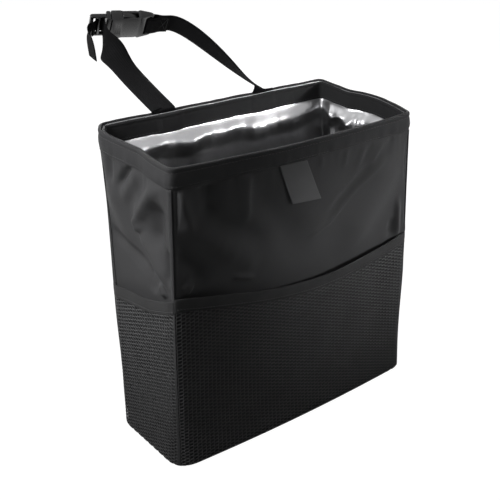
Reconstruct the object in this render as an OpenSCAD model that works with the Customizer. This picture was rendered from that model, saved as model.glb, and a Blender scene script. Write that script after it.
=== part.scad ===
// Soft car trash bin with net pockets, a foil lining and a buckled headrest strap.
// Millimetres. The origin is the middle of the base on the floor, +Z is up and the front faces -Y.

/* [Bag] */
// Width of the bag across its front
body_w = 262; // [200:1:340]
// Height from the floor to the rim
body_h = 280; // [220:1:380]
// Depth of the bag at its base
base_d = 90; // [80:1:130]
// Depth of the mouth, which opens towards the back
mouth_d = 120; // [100:1:160]
// Radius of the soft turn between the walls and the base
base_round = 5; // [3.5:0.5:8]
// How far the front wall hollows behind its pocket
front_hollow = 8; // [6:0.5:12]
// How far each side wall hollows behind its pocket
side_hollow = 7; // [6:0.5:10]
// How far the soft sides swell outwards at the rim
side_swell = 6; // [0:0.5:9]
// How far below the hem that swell has died out
swell_drop = 90; // [50:5:140]

/* [Cloth and stiffening] */
// Thickness of the coated cloth
cloth_t = 0.6; // [0.4:0.1:1]
// Thickness of the foil lining
lining_t = 0.3; // [0.2:0.1:0.6]
// Thickness of the stiffening boards
board_t = 1.2; // [0.8:0.1:1.8]
// Thickness of the flat strips in the hem
strip_t = 1; // [0.6:0.1:1.5]
// Air left between one ply and the next
ply_gap = 0.15; // [0.1:0.05:0.25]
// Height of the hem round the outside of the rim
hem_h = 18; // [14:1:24]
// Height of the facing round the inside of the rim
facing_h = 18; // [14:1:24]
// Width of each leg of the corner tapes
seam_w = 5; // [4:0.5:7]
// Thickness of the corner tapes
seam_t = 1; // [0.6:0.1:1.4]

/* [Pockets] */
// Height of the front pocket at the corners
front_pocket_h = 163; // [120:1:175]
// How far the front pocket's top edge sags in the middle
front_pocket_sag = 19; // [5:1:30]
// Height of the side pockets at the front corner
side_pocket_front_h = 160; // [120:1:175]
// Height of the side pockets at the back corner
side_pocket_back_h = 136; // [110:1:160]
// How far a side pocket's top edge sags in the middle
side_pocket_sag = 2; // [0:1:8]
// Height of the tape folded over each pocket's top edge
binding_h = 12; // [9:1:16]
// Thickness of each ply of that tape
binding_ply = 0.5; // [0.3:0.1:0.7]
// Thickness of the net
net_t = 0.8; // [0.5:0.1:1.2]
// Distance between the middles of the net's gaps
net_pitch = 18.5; // [17:0.5:26]
// Width of the net's strands
strand_w = 2.9; // [1.5:0.1:5]

/* [Patch] */
// Width of the bare patch on the front
patch_w = 31; // [20:1:45]
// Height of the patch
patch_h = 38; // [25:1:50]
// Thickness of the patch
patch_t = 0.8; // [0.5:0.1:1.2]
// Angle by which the patch hangs askew
patch_lean = 20; // [0:1:25]
// Middle of the patch, to the right of the bag's middle
patch_x = -4; // [-60:1:60]
// Middle of the patch below the rim
patch_drop = 40; // [38:1:60]

/* [Headrest strap] */
// Width of the webbing
strap_w = 25; // [18:0.5:30]
// Thickness of the webbing
web_t = 1.2; // [0.8:0.1:1.6]
// Distance between the middles of the two strap ends at the rim
strap_gap = 117; // [90:1:140]
// How far the loop reaches back behind the rim
loop_back = 85; // [70:1:120]
// How far the buckle stands above the rim
loop_rise = 64.5; // [45:0.5:90]
// Place of the buckle's mouth, to the right of the bag's middle
buckle_x = -60.5; // [-70:0.5:-30]
// Roll of the buckle about its own length
buckle_roll = 136; // [125:1:145]
// Turn of the buckle seen from above, socket end towards the front
buckle_yaw = 21; // [0:1:35]
// Tilt of the buckle, socket end up
buckle_tilt = -2.5; // [-10:0.5:15]
// Length of the tail beyond the ladder bars
tail_l = 32; // [22:1:45]
// Radius of the turn by which each strap end leaves the rim
strap_turn_r = 4; // [3:0.5:14]
// Angle from upright at which the adjustable strap leaves the rim
left_leave = 20; // [10:1:90]
// Angle from upright at which the fixed strap leaves the rim
right_leave = 85; // [10:1:90]
// How far the adjustable strap runs straight from the rim before it rounds off
left_rim_run = 12; // [6:1:60]
// How far the adjustable strap runs straight from the buckle before it rounds off
left_buckle_run = 44; // [25:1:60]
// Share of the adjustable strap's run after which it twists to meet its bar
left_twist_at = 0.6; // [0:0.05:0.7]
// How far the fixed strap runs straight from the rim before it rounds off
right_rim_run = 60; // [30:1:75]
// How far the fixed strap runs straight from the buckle before it rounds off
right_buckle_run = 22; // [12:1:40]
// Length of the strap's return sewn beyond the socket's bar
lap_l = 17; // [14:1:22]

/* [Buckle] */
// Thickness of the buckle at its mouth
buckle_t = 10; // [9:0.5:12]
// Length of the socket
socket_l = 40; // [37:0.5:46]
// Wall of the socket beside the spring arms
side_wall = 2.8; // [2.2:0.1:3.4]
// Wall of the socket above and below the spring arms
face_wall = 1.9; // [1.5:0.1:2.2]
// Radius of the bars that the webbing turns round
bar_r = 1.9; // [1.6:0.1:2.2]
// Width of the slots that the webbing passes through
slot_l = 4; // [3.6:0.1:5]
// Length of the plug's flange
flange_l = 4; // [3:0.5:6]
// Length of the spring arms beyond the flange
arm_l = 25; // [22:0.5:26]
// Thickness of the ladder frame
ladder_t = 3.4; // [2.8:0.1:4]
// Clearance between the plug and the socket
fit_gap = 0.3; // [0.2:0.05:0.5]

/* [Hidden] */
$fn = 32;

// The four walls in order round the bag, seen from above
FRONT = 0;
RIGHT = 1;
BACK = 2;
LEFT = 3;

// Plies from the outside in, as depths below the outer face of the wall
board_in = cloth_t + ply_gap;
strip_in = board_in + max(board_t, web_t) + ply_gap;
lining_in = strip_in + strip_t + ply_gap;
facing_in = lining_in + lining_t + ply_gap;

// Heights of the plies that lie on the base
wall_foot = cloth_t + ply_gap;
lining_floor = wall_foot + board_t + ply_gap;
hem_foot = body_h - hem_h;
fold_z = body_h - cloth_t - ply_gap;

// Columns across a wall as shares of its half width, close together at the corners
seam_s = 1 - seam_w / (body_w / 2);
side_seam_s = 1 - seam_w / (base_d / 2);
wide_cols = concat([-1, -seam_s], [for (k = [-4:4]) seam_s * sin(18 * k)], [seam_s, 1]);
side_cols = concat([-1, -side_seam_s], [for (k = [-3:3]) side_seam_s * sin(22.5 * k)], [side_seam_s, 1]);

// Rows up a wall: three in the turn at the base, then even ones up to the hem
row_count = 8;
turn_rows = [wall_foot, (wall_foot + base_round) / 2.6, base_round];
even_rows = [for (k = [1:row_count]) base_round + (hem_foot - base_round) * k / row_count];
wall_rows = concat(turn_rows, even_rows, [fold_z]);

// Share of the swell at places along each side's rim, as share of its half depth
right_swell = [[-1, 0], [-0.5, 0.8], [0, 1], [0.35, 0], [1, 0]];
left_swell = [[-1, 0], [-0.6, 1], [-0.1, 0.5], [0.15, -0.3], [0.5, 0.2], [1, 0]];

// Front edge, back edge and half depth of the bag at a height
front_y = -base_d / 2;
function back_y(z) = base_d / 2 + (mouth_d - base_d) * z / body_h;
function mid_y(z) = (front_y + back_y(z)) / 2;
function half_d(z) = (back_y(z) - front_y) / 2;

// How far the walls draw in as they turn under at the base
function turn_in(z) = z < base_round ? base_round - sqrt(pow(base_round, 2) - pow(base_round - z, 2)) : 0;

// How far the front and side walls hollow, and how far the sides swell
function belly(s) = 1 - pow(s, 4);
function front_dip(s, z) = front_hollow * belly(s) * sin(180 * pow(max(z, 0) / body_h, 0.8));
function side_dip(s, z) = let (v = min(max(z, 0) / (0.85 * body_h), 1)) side_hollow * belly(s) * sin(180 * pow(v, 0.9));
function swell_share(z) = pow(max(0, 1 - max(0, hem_foot - z) / swell_drop), 2);
function side_out(table, s, z) = side_swell * lookup(s, table) * swell_share(z) - side_dip(s, z);

// A point of a wall: its side, its place across from -1 to 1, its height and its depth below the outer face
function wall_point(side, s, z, d) =
    let (a = d + turn_in(z), w = body_w / 2 - a, h = half_d(z) - a)
    side == FRONT ? [s * w, front_y + a + front_dip(s, z), z] :
    side == RIGHT ? [w + side_out(right_swell, s, z), mid_y(z) + s * h, z] :
    side == BACK ? [-s * w, back_y(z) - a, z] :
    [-w - side_out(left_swell, s, z), mid_y(z) - s * h, z];

function cols_of(side) = side == FRONT ? wide_cols : side == BACK ? [-1, 1] : side_cols;

// One closed ring round the bag at a height and depth
function ring(z, d) = [
    for (side = [FRONT:LEFT], k = [0:len(cols_of(side)) - 2]) wall_point(side, cols_of(side)[k], z, d)
];

// Faces between one loop of points and the next. From flip_row and flip_col on the diagonals are turned,
// so that facing plies are cut into the same triangles.
function skin(rows, n, closed, flip_row, flip_col) = [
    for (i = [0:rows - (closed ? 1 : 2)], j = [0:n - 1], half = [0, 1])
        let (
            i2 = (i + 1) % rows, j2 = (j + 1) % n,
            a = i * n + j, b = i2 * n + j, c = i2 * n + j2, d = i * n + j2,
            turned = (i >= flip_row) != (j >= flip_col)
        )
        turned ? (half == 0 ? [a, b, d] : [b, c, d]) : (half == 0 ? [a, b, c] : [a, c, d])
];

// The two ends of a stack of loops whose first half runs out and whose second half runs back
function strip_ends(rows, n) = [
    for (k = [0:n / 2 - 2], half = [0, 1], end = [0, 1])
        let (o = end * (rows - 1) * n, a = o + k, b = o + k + 1, c = o + n - 2 - k, d = o + n - 1 - k)
        half == 0 ? (end == 0 ? [a, b, c] : [a, c, b]) : (end == 0 ? [a, c, d] : [a, d, c])
];

// A flat plate that follows a wall, from depth d0 in to d1
module wall_ply(side, cols, rows, d0, d1) {
    n = 2 * len(cols);
    loops = [
        for (z = rows) concat(
            [for (s = cols) wall_point(side, s, z, d0)],
            [for (k = [len(cols) - 1:-1:0]) wall_point(side, cols[k], z, d1)])
    ];
    polyhedron(
        [for (loop = loops, p = loop) p],
        concat(skin(len(rows), n, false, len(rows), len(cols)), strip_ends(len(rows), n)),
        convexity = 6);
}

// A band that runs all round the bag, with its profile given as pairs of depth and height
module ring_band(profile, outer_count) {
    rings = [for (p = profile) ring(p[1], p[0])];
    n = len(rings[0]);
    polyhedron([for (r = rings, p = r) p], skin(len(rings), n, true, outer_count, n), convexity = 6);
}

// Walls

module front_panel() {
    color("#2b2b2d") wall_ply(FRONT, wide_cols, wall_rows, 0, cloth_t);
}

module back_panel() {
    rows = concat(turn_rows, [fold_z]);
    color("#2b2b2d") wall_ply(BACK, cols_of(BACK), rows, 0, cloth_t);
}

module gusset(side) {
    color("#39393b") wall_ply(side, side_cols, wall_rows, 0, cloth_t);
}

// A plate on the base, as far in from the walls as the given inset
module base_plate(z, t, inset) {
    a = turn_in(wall_foot) + inset;
    y0 = front_y + a;
    y1 = back_y(0) - a;
    translate([-(body_w / 2 - a), y0, z]) cube([body_w - 2 * a, y1 - y0, t]);
}

module bottom_panel() {
    color("#222224") base_plate(0, cloth_t, 0);
}

// Hem, facing and what stiffens them

// The gap in the facing's lip that a strap end comes up through
module strap_notch(x) {
    c = ply_gap;
    translate([x - strap_w / 2 - c, back_y(body_h) - board_in - web_t - 2 * c, fold_z - 2])
        cube([strap_w + 2 * c, web_t + 3.5 * c, 4]);
}

module rim_hem() {
    out = -ply_gap - cloth_t;
    edge = cloth_t;
    lip = board_in - 1.5 * ply_gap;
    profile = [
        [out, hem_foot], [out, body_h - edge], [out + edge, body_h], [lip, body_h],
        [lip, body_h - cloth_t], [-ply_gap, body_h - cloth_t], [-ply_gap, hem_foot]
    ];
    color("#2f2f31") ring_band(profile, 3);
}

module rim_facing() {
    in = facing_in + cloth_t;
    foot = body_h - facing_h;
    lip = board_in - 0.5 * ply_gap;
    profile = [
        [facing_in, foot], [facing_in, body_h - cloth_t], [lip, body_h - cloth_t], [lip, body_h],
        [in - cloth_t, body_h], [in, body_h - cloth_t], [in, foot]
    ];
    color("#303032") difference() {
        ring_band(profile, 3);
        for (x = [-strap_gap / 2, strap_gap / 2]) strap_notch(x);
    }
}

strip_top = fold_z - 1;
strip_foot = hem_foot + 2;

module front_rim_strip() {
    cols = [for (s = wide_cols) if (abs(s) < seam_s) s];
    color("#8a8a88") wall_ply(FRONT, cols, [strip_foot, strip_top], strip_in, strip_in + strip_t);
}

module back_rim_strip() {
    color("#8a8a88") wall_ply(BACK, [-0.92, 0.92], [strip_foot, strip_top], strip_in, strip_in + strip_t);
}

// Boards between cloth and lining

module front_board() {
    cols = [for (s = wide_cols) if (abs(s) < seam_s) s];
    rows = [for (k = [0:row_count - 2]) even_rows[k]];
    color("#b9b7ae") wall_ply(FRONT, cols, concat([base_round], rows), board_in, board_in + board_t);
}

module back_board() {
    color("#b9b7ae") wall_ply(BACK, [-0.92, 0.92], [base_round, hem_foot - 3], board_in, board_in + board_t);
}

module base_board() {
    // the front wall already hollows at the board's height
    room = front_dip(0, wall_foot + board_t) + ply_gap;
    color("#b9b7ae") base_plate(wall_foot, board_t, cloth_t + room);
}

// The foil bag: down the outside, up to the hem, over and down to its floor inside
module foil_lining() {
    rows = concat([lining_floor, (lining_floor + base_round) / 1.8], even_rows, [fold_z - ply_gap]);
    inner = concat([fold_z - ply_gap], [for (k = [row_count - 1:-1:0]) even_rows[k]], [lining_floor + lining_t]);
    rings = concat(
        [for (z = rows) ring(z, lining_in)],
        [for (z = inner) ring(z, lining_in + lining_t)]);
    n = len(rings[0]);
    m = len(rings);
    color("#c9cbcd") polyhedron(
        [for (r = rings, p = r) p],
        concat(
            skin(m, n, false, len(rows), n),
            [[for (k = [0:n - 1]) k]],
            [[for (k = [n - 1:-1:0]) (m - 1) * n + k]]),
        convexity = 6);
}

// Corner tapes: an angle that laps both walls, from the base up to the hem
module corner_seam(side) {
    next = (side + 1) % 4;
    s0 = side == FRONT || side == BACK ? seam_s : side_seam_s;
    s1 = next == FRONT || next == BACK ? seam_s : side_seam_s;
    in = -ply_gap;
    out = -ply_gap - seam_t;
    rows = concat(turn_rows, [for (k = [0:row_count - 2]) even_rows[k]], [hem_foot - ply_gap]);
    loops = [
        for (z = rows) [
            wall_point(side, s0, z, out), wall_point(side, 1, z, out), wall_point(next, -s1, z, out),
            wall_point(next, -s1, z, in), wall_point(side, 1, z, in), wall_point(side, s0, z, in)
        ]
    ];
    color("#1c1c1e") polyhedron(
        [for (loop = loops, p = loop) p],
        concat(skin(len(rows), 6, false, len(rows), 3), strip_ends(len(rows), 6)),
        convexity = 4);
}

// Pockets: each is drawn flat, across and up, and then stood against its wall

net_foot = 2;
net_out = 0.3;
slot_gap = 0.1;
binding_t = net_t + 2 * slot_gap + 2 * binding_ply;
edge_gap = 0.2;
top_steps = 24;

front_net_half = body_w / 2 - seam_w - edge_gap;
side_net_front = front_y + seam_w + edge_gap;
function side_net_back(z) = back_y(z) - seam_w * half_d(z) / (base_d / 2) - edge_gap;

function front_top(x) = front_pocket_h - front_pocket_sag * (1 - pow(x / (body_w / 2), 2));
function side_top(y) =
    let (u = (y - front_y) / (back_y(side_pocket_back_h) - front_y))
    side_pocket_front_h + (side_pocket_back_h - side_pocket_front_h) * u - side_pocket_sag * 4 * u * (1 - u);

// The band between two distances below a pocket's top edge
module front_band(upper, lower) {
    xs = [for (k = [0:top_steps]) front_net_half * (2 * k / top_steps - 1)];
    polygon(concat(
        [for (x = xs) [x, front_top(x) - upper]],
        [for (k = [top_steps:-1:0]) [xs[k], front_top(xs[k]) - lower]]));
}

module side_band(upper, lower) {
    y1 = side_net_back(side_pocket_back_h);
    ys = [for (k = [0:top_steps / 2]) side_net_front + (y1 - side_net_front) * k / (top_steps / 2)];
    polygon(concat(
        [for (y = ys) [y, side_top(y) - upper]],
        [for (k = [top_steps / 2:-1:0]) [ys[k], side_top(ys[k]) - lower]]));
}

// Six-sided gaps in staggered rows, where the given test finds room for them
module net_gaps(across, up, room) {
    gap_r = (net_pitch - strand_w) / sqrt(3);
    row_step = net_pitch * sqrt(3) / 2;
    for (j = [0:floor(up / row_step)], i = [-ceil(across / net_pitch):ceil(across / net_pitch)]) {
        x = (i + (j % 2) / 2) * net_pitch;
        z = net_foot + strand_w + gap_r + j * row_step;
        if (room(x, z, gap_r + strand_w)) translate([x, z]) rotate(30) circle(gap_r, $fn = 6);
    }
}

under_binding = 1.2;

module front_net_drawing() {
    difference() {
        polygon(concat(
            [[-front_net_half, net_foot], [front_net_half, net_foot]],
            [for (k = [top_steps:-1:0]) let (x = front_net_half * (2 * k / top_steps - 1)) [x, front_top(x) - under_binding]]));
        net_gaps(front_net_half, front_pocket_h,
            function (x, z, r) abs(x) + r < front_net_half && z + r < front_top(x) - binding_h);
    }
}

module side_net_drawing() {
    y1 = side_net_back(side_pocket_back_h);
    difference() {
        polygon(concat(
            [[side_net_front, net_foot], [side_net_back(net_foot), net_foot], [y1, side_top(y1) - under_binding]],
            [for (k = [top_steps / 2 - 1:-1:0])
                let (y = side_net_front + (y1 - side_net_front) * k / (top_steps / 2)) [y, side_top(y) - under_binding]]));
        net_gaps(base_d, side_pocket_front_h,
            function (y, z, r) y - r > side_net_front && y + r < side_net_back(z) && z + r < side_top(y) - binding_h);
    }
}

// Stands a drawing against a wall, its inner face the given distance off the plane of the corners
module on_front(out, t) {
    translate([0, front_y - out, 0]) rotate([90, 0, 0]) linear_extrude(t) children();
}

module on_side(side, out, t) {
    x = side == RIGHT ? body_w / 2 + out : -body_w / 2 - out - t;
    translate([x, 0, 0]) rotate([90, 0, 90]) linear_extrude(t) children();
}

binding_out = net_out - slot_gap - binding_ply;

module front_pocket_net() {
    color("#1d1d1f") on_front(net_out, net_t) front_net_drawing();
}

module side_pocket_net(side) {
    color("#1d1d1f") on_side(side, net_out, net_t) side_net_drawing();
}

module front_pocket_binding() {
    color("#333335") difference() {
        on_front(binding_out, binding_t) front_band(0, binding_h);
        on_front(net_out - slot_gap, net_t + 2 * slot_gap) front_band(under_binding - slot_gap, binding_h + 1);
    }
}

module side_pocket_binding(side) {
    color("#333335") difference() {
        on_side(side, binding_out, binding_t) side_band(0, binding_h);
        on_side(side, net_out - slot_gap, net_t + 2 * slot_gap) side_band(under_binding - slot_gap, binding_h + 1);
    }
}

// The bare patch follows the front wall and hangs askew
module front_patch() {
    n = 4;
    gap = ply_gap + 0.05;
    function patch_point(a, b, d) =
        let (
            x = patch_x + a * cos(patch_lean) - b * sin(patch_lean),
            z = body_h - patch_drop + a * sin(patch_lean) * 0.3 + b * cos(patch_lean)
        )
        wall_point(FRONT, x / (body_w / 2), z, d);
    loops = [
        for (j = [0:n]) let (b = patch_h * (j / n - 0.5)) concat(
            [for (i = [0:n]) patch_point(patch_w * (i / n - 0.5), b, -gap - patch_t)],
            [for (i = [n:-1:0]) patch_point(patch_w * (i / n - 0.5), b, -gap)])
    ];
    m = 2 * (n + 1);
    color("#4a4a4c") polyhedron(
        [for (loop = loops, p = loop) p],
        concat(skin(n + 1, m, false, n + 1, n + 1), strip_ends(n + 1, m)),
        convexity = 2);
}

// Buckle: drawn along X with its mouth at 0, the plug to -X, its inner face to +Z, then put in its place

buckle_place = [buckle_x, back_y(body_h) + loop_back, body_h + loop_rise];
function yawed(v) = let (c = cos(buckle_yaw), s = sin(buckle_yaw)) [c * v[0] + s * v[1], c * v[1] - s * v[0], v[2]];
along = yawed([cos(buckle_tilt), 0, sin(buckle_tilt)]);
across = yawed([-sin(buckle_tilt) * sin(buckle_roll), cos(buckle_roll), cos(buckle_tilt) * sin(buckle_roll)]);
inward = cross(along, across);
function buckle_point(x, z) = buckle_place + x * along + z * inward;

module in_buckle_place() {
    translate(buckle_place) rotate([0, 0, -buckle_yaw]) rotate([0, -buckle_tilt, 0]) rotate([buckle_roll, 0, 0])
        children();
}

slot_w = strap_w + 1.5;
mouth_w = slot_w + 2 * 2.4;
arm_t = buckle_t - 2 * face_wall - 2 * fit_gap - 1.2;
cavity_w = mouth_w - 2 * side_wall;
cavity_t = arm_t + 2 * fit_gap;
cavity_l = arm_l + 1;
window_x0 = 10.5;
window_l = arm_l - window_x0 + 0.6;
bar_x = socket_l - bar_r;
ladder_bar_x = -fit_gap - flange_l - slot_l - bar_r;
ladder_end_x = ladder_bar_x - bar_r - slot_l;
end_bar_l = 3;

// A rectangle with round corners, along x from x0 to x1 and as wide as w
module soft_rect(x0, x1, w, r) {
    translate([x0 + r, -w / 2]) square([x1 - x0 - 2 * r, w]);
    translate([x0, -w / 2 + r]) square([x1 - x0, w - 2 * r]);
    for (x = [x0 + r, x1 - r], y = [-w / 2 + r, w / 2 - r]) translate([x, y]) circle(r);
}

// The socket seen from its broad face: narrow at the windows, with wider cheeks beside the webbing bar
module socket_outline() {
    mouth = mouth_w / 2;
    waist = mouth - 1.2;
    cheek = mouth + 1;
    window_x1 = window_x0 + window_l;
    side = [
        [0, mouth - 0.6], [0.6, mouth], [window_x0 - 2, mouth], [window_x0 + 1, waist], [window_x1 - 0.5, waist],
        [window_x1 + 1.5, cheek], [bar_x - bar_r, cheek], [socket_l - 1, mouth - 0.6], [socket_l, mouth - 1.8]
    ];
    polygon(concat(side, [for (k = [len(side) - 1:-1:0]) [side[k][0], -side[k][1]]]));
}

// The socket seen from its narrow side: thick to the end of the cavity, then down to the webbing bar
module socket_side() {
    x1 = cavity_l + 1;
    x2 = socket_l - bar_r;
    t = buckle_t / 2;
    polygon([
        [0, -t + 0.8], [0.8, -t], [x1 - 4, -t], [x1, -t + 0.8], [x2 - slot_l / 2, -bar_r], [x2, -bar_r],
        [x2, bar_r], [x2 - slot_l / 2, bar_r], [x1, t - 0.8], [x1 - 4, t], [0.8, t], [0, t - 0.8]
    ]);
    translate([x2, 0]) circle(bar_r);
}

module buckle_socket() {
    rib_y = guide_w / 2 + fit_gap + 0.5;
    color("#29292b") in_buckle_place() difference() {
        union() {
            difference() {
                intersection() {
                    translate([0, 0, -buckle_t]) linear_extrude(2 * buckle_t) socket_outline();
                    translate([0, mouth_w, 0]) rotate([90, 0, 0]) linear_extrude(2 * mouth_w) socket_side();
                }
                translate([-1, -cavity_w / 2, -cavity_t / 2]) cube([cavity_l + 1, cavity_w, cavity_t]);
                for (side = [-1, 1]) translate([window_x0, side * mouth_w / 2 - 5, -cavity_t / 2])
                    cube([window_l, 10, cavity_t]);
            }
            for (y = [-rib_y, rib_y], z = [-1, 1])
                translate([2, y - 0.5, z * (cavity_t / 2 + guide_t / 2 + fit_gap) / 2 - rib_t / 2])
                    cube([cavity_l - 2, 1, rib_t]);
        }
        difference() {
            translate([bar_x - bar_r - slot_l, -slot_w / 2, -buckle_t]) cube([slot_l + bar_r, slot_w, 2 * buckle_t]);
            translate([bar_x, 0, 0]) rotate([90, 0, 0]) cylinder(h = slot_w + 1, r = bar_r, center = true);
        }
        for (z = [-1, 1], k = [0:2]) translate([5 + 2 * k, 0, z * (buckle_t / 2 + 0.35)])
            rotate([90, 0, 0]) cylinder(h = cavity_w * 0.6, r = 0.6, center = true);
    }
}

guide_w = 6.4;
guide_t = 3;
rib_t = (cavity_t - guide_t) / 2 - fit_gap + 0.01;

// One spring arm seen from the broad face: a thin root, the barb that shows in the window and a round nose
module spring_arm() {
    out = cavity_w / 2 - fit_gap;
    barb = mouth_w / 2 - 0.2;
    polygon([
        [-fit_gap - 1, out - 3.4], [window_x0 - 2, out - 3.2], [arm_l - 3, out - 4.2], [arm_l - 0.8, out - 3.8],
        [arm_l, out - 2.4], [arm_l - 0.2, out - 0.8], [arm_l - 2.2, out + 1], [window_x0 + 3.6, barb - 0.2],
        [window_x0 + 1.4, barb], [window_x0 + fit_gap, barb - 0.6], [window_x0 + fit_gap, out],
        [-fit_gap - 1, out]
    ]);
}

module buckle_plug() {
    root = -fit_gap - flange_l;
    color("#29292b") in_buckle_place() {
        difference() {
            union() {
                // flange
                translate([0, 0, -buckle_t / 2 + 0.8]) linear_extrude(buckle_t - 1.6)
                    soft_rect(root, -fit_gap, mouth_w, 0.8);
                translate([root + 0.8, -mouth_w / 2 + 0.8, -buckle_t / 2]) cube([flange_l - 1.6, mouth_w - 1.6, buckle_t]);
                // ladder frame
                translate([0, 0, -ladder_t / 2]) linear_extrude(ladder_t)
                    soft_rect(ladder_end_x - end_bar_l, root + 1, mouth_w, 2.4);
            }
            translate([ladder_end_x, -slot_w / 2, -buckle_t]) cube([root - ladder_end_x, slot_w, 2 * buckle_t]);
        }
        // the bar that the webbing grips
        translate([ladder_bar_x, 0, 0]) rotate([90, 0, 0]) cylinder(h = slot_w + 1, r = bar_r, center = true);
        // teeth on the end bar
        for (k = [0:2]) translate([ladder_end_x - 0.6 - 0.9 * k, 0, ladder_t / 2]) rotate([90, 0, 0])
            cylinder(h = slot_w - 2, r = 0.35, center = true);
        // guide blade
        translate([-fit_gap - 1, -guide_w / 2, -guide_t / 2]) cube([arm_l - 3 + fit_gap, guide_w, guide_t]);
        translate([0, 0, -arm_t / 2]) linear_extrude(arm_t) {
            spring_arm();
            mirror([0, 1]) spring_arm();
        }
    }
}

// Webbing: a flat ribbon swept along a run of points, each with the direction of its width

function unit(v) = v / norm(v);
function run_dir(p, i) = unit(p[min(i + 1, len(p) - 1)] - p[max(i - 1, 0)]);
function square_to(w, t) = unit(w - (w * t) * t);

module webbing(points, widths) {
    loops = [
        for (i = [0:len(points) - 1])
            let (t = run_dir(points, i), w = square_to(widths[i], t), n = cross(w, t), a = strap_w / 2, b = web_t / 2)
            [points[i] - a * w - b * n, points[i] + a * w - b * n, points[i] + a * w + b * n, points[i] - a * w + b * n]
    ];
    polyhedron(
        [for (loop = loops, p = loop) p],
        concat(skin(len(points), 4, false, len(points), 4), strip_ends(len(points), 4)),
        convexity = 6);
}

// A smooth run from a to d, leaving along b - a and arriving along d - c
function smooth_run(a, b, c, d, n) = [
    for (k = [0:n]) let (u = k / n)
        pow(1 - u, 3) * a + 3 * pow(1 - u, 2) * u * b + 3 * (1 - u) * pow(u, 2) * c + pow(u, 3) * d
];
function ease(u) = let (v = min(max(u, 0), 1)) v * v * (3 - 2 * v);
function mix_dir(a, b, u) = unit(a * (1 - u) + b * u);

// The strap end in the hem, and its turn backwards over the rim
strap_in = board_in + web_t / 2;
lean_back = atan((mouth_d - base_d) / body_h);
function strap_root(x, leave) = let (
    up = [0, sin(lean_back), cos(lean_back)],
    top = [x, back_y(body_h) - strap_in, body_h]
) concat(
    [top - (hem_h - 4) * up, top - hem_h / 2 * up],
    [for (k = [0:6]) let (a = lean_back + (leave - lean_back) * k / 6)
        top + up * 1.5 + strap_turn_r * [0, cos(lean_back) - cos(a), sin(a) - sin(lean_back)]]
);
function last(p) = p[len(p) - 1];

// The webbing turns round a bar with a little air
web_gap = 0.25;
wrap_r = bar_r + web_gap + web_t / 2;
wrap_steps = 8;
turn_steps = 14;

module adjustable_strap() {
    root = strap_root(-strap_gap / 2, left_leave);
    // up through the inner slot, round the bar and back through the outer slot
    wrap = [for (k = [0:wrap_steps]) let (a = -180 * k / wrap_steps)
        buckle_point(ladder_bar_x + wrap_r * cos(a), wrap_r * sin(a))];
    lead = [buckle_point(ladder_bar_x + wrap_r - 0.2, 7), buckle_point(ladder_bar_x + wrap_r, 3)];
    away = [0, sin(left_leave), cos(left_leave)];
    near = lead[0] + left_buckle_run * unit(lead[0] - lead[1]);
    span = smooth_run(last(root), last(root) + left_rim_run * away, near, lead[0], turn_steps);
    tail = [for (k = [0:5]) let (u = k / 5)
        buckle_point(ladder_bar_x - wrap_r - 0.5 - 9 * pow(u, 1.3), 3 + (tail_l - 3) * u)];
    points = concat(root, [for (k = [1:turn_steps]) span[k]], [lead[1]], wrap, tail);
    first = len(root);
    widths = [
        for (i = [0:len(points) - 1])
            mix_dir([1, 0, 0], across, ease(((i - first) / turn_steps - left_twist_at) / (1 - left_twist_at)))
    ];
    color("#262628") webbing(points, widths);
}

module fixed_strap() {
    root = strap_root(strap_gap / 2, right_leave);
    // the sewn return lies on the strap, then turns round the socket's bar
    lap = web_t / 2 + 0.1;
    closed = bar_x + 2.2 * wrap_r;
    back = [buckle_point(bar_x + lap_l, lap), buckle_point(closed + lap_l / 4, lap), buckle_point(closed, (lap + wrap_r) / 2)];
    wrap = [for (k = [0:wrap_steps]) let (a = 75 + 210 * k / wrap_steps)
        buckle_point(bar_x + wrap_r * cos(a), wrap_r * sin(a))];
    out = [buckle_point(closed, -(lap + wrap_r) / 2), buckle_point(closed + lap_l / 4, -lap), buckle_point(bar_x + lap_l, -lap)];
    away = [0, sin(right_leave), cos(right_leave)];
    far = last(root) + right_rim_run * away;
    span = smooth_run(last(out), last(out) + right_buckle_run * along, far, last(root), turn_steps);
    points = concat(back, wrap, out, [for (k = [1:turn_steps]) span[k]], [for (k = [len(root) - 2:-1:0]) root[k]]);
    first = len(back) + wrap_steps + 1 + len(out);
    turned = first + turn_steps;
    widths = [
        for (i = [0:len(points) - 1])
            mix_dir(across, [-1, 0, 0], ease((i - turned + 8) / 8))
    ];
    color("#262628") webbing(points, widths);
}

front_panel();
back_panel();
gusset(LEFT);  // left_gusset
gusset(RIGHT);  // right_gusset
bottom_panel();
rim_hem();
rim_facing();
front_rim_strip();
back_rim_strip();
front_board();
back_board();
base_board();
foil_lining();
front_pocket_net();
side_pocket_net(LEFT);  // left_pocket_net
side_pocket_net(RIGHT);  // right_pocket_net
front_pocket_binding();
side_pocket_binding(LEFT);  // left_pocket_binding
side_pocket_binding(RIGHT);  // right_pocket_binding
corner_seam(LEFT);  // front_left_seam
corner_seam(FRONT);  // front_right_seam
corner_seam(BACK);  // back_left_seam
corner_seam(RIGHT);  // back_right_seam
front_patch();
adjustable_strap();
fixed_strap();
buckle_plug();
buckle_socket();
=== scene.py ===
"""Soft car trash bin: the dressed model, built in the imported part's own frame.

Lengths in the classes below are in millimetres, as in the part's source, and become metres when a mesh is
filled. Only the studio's are in metres.
"""

import logging
import math
from dataclasses import dataclass, field
from enum import Enum
from typing import Callable, Mapping, Optional, Sequence, Union

import bpy
import numpy as np
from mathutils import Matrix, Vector, noise


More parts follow.
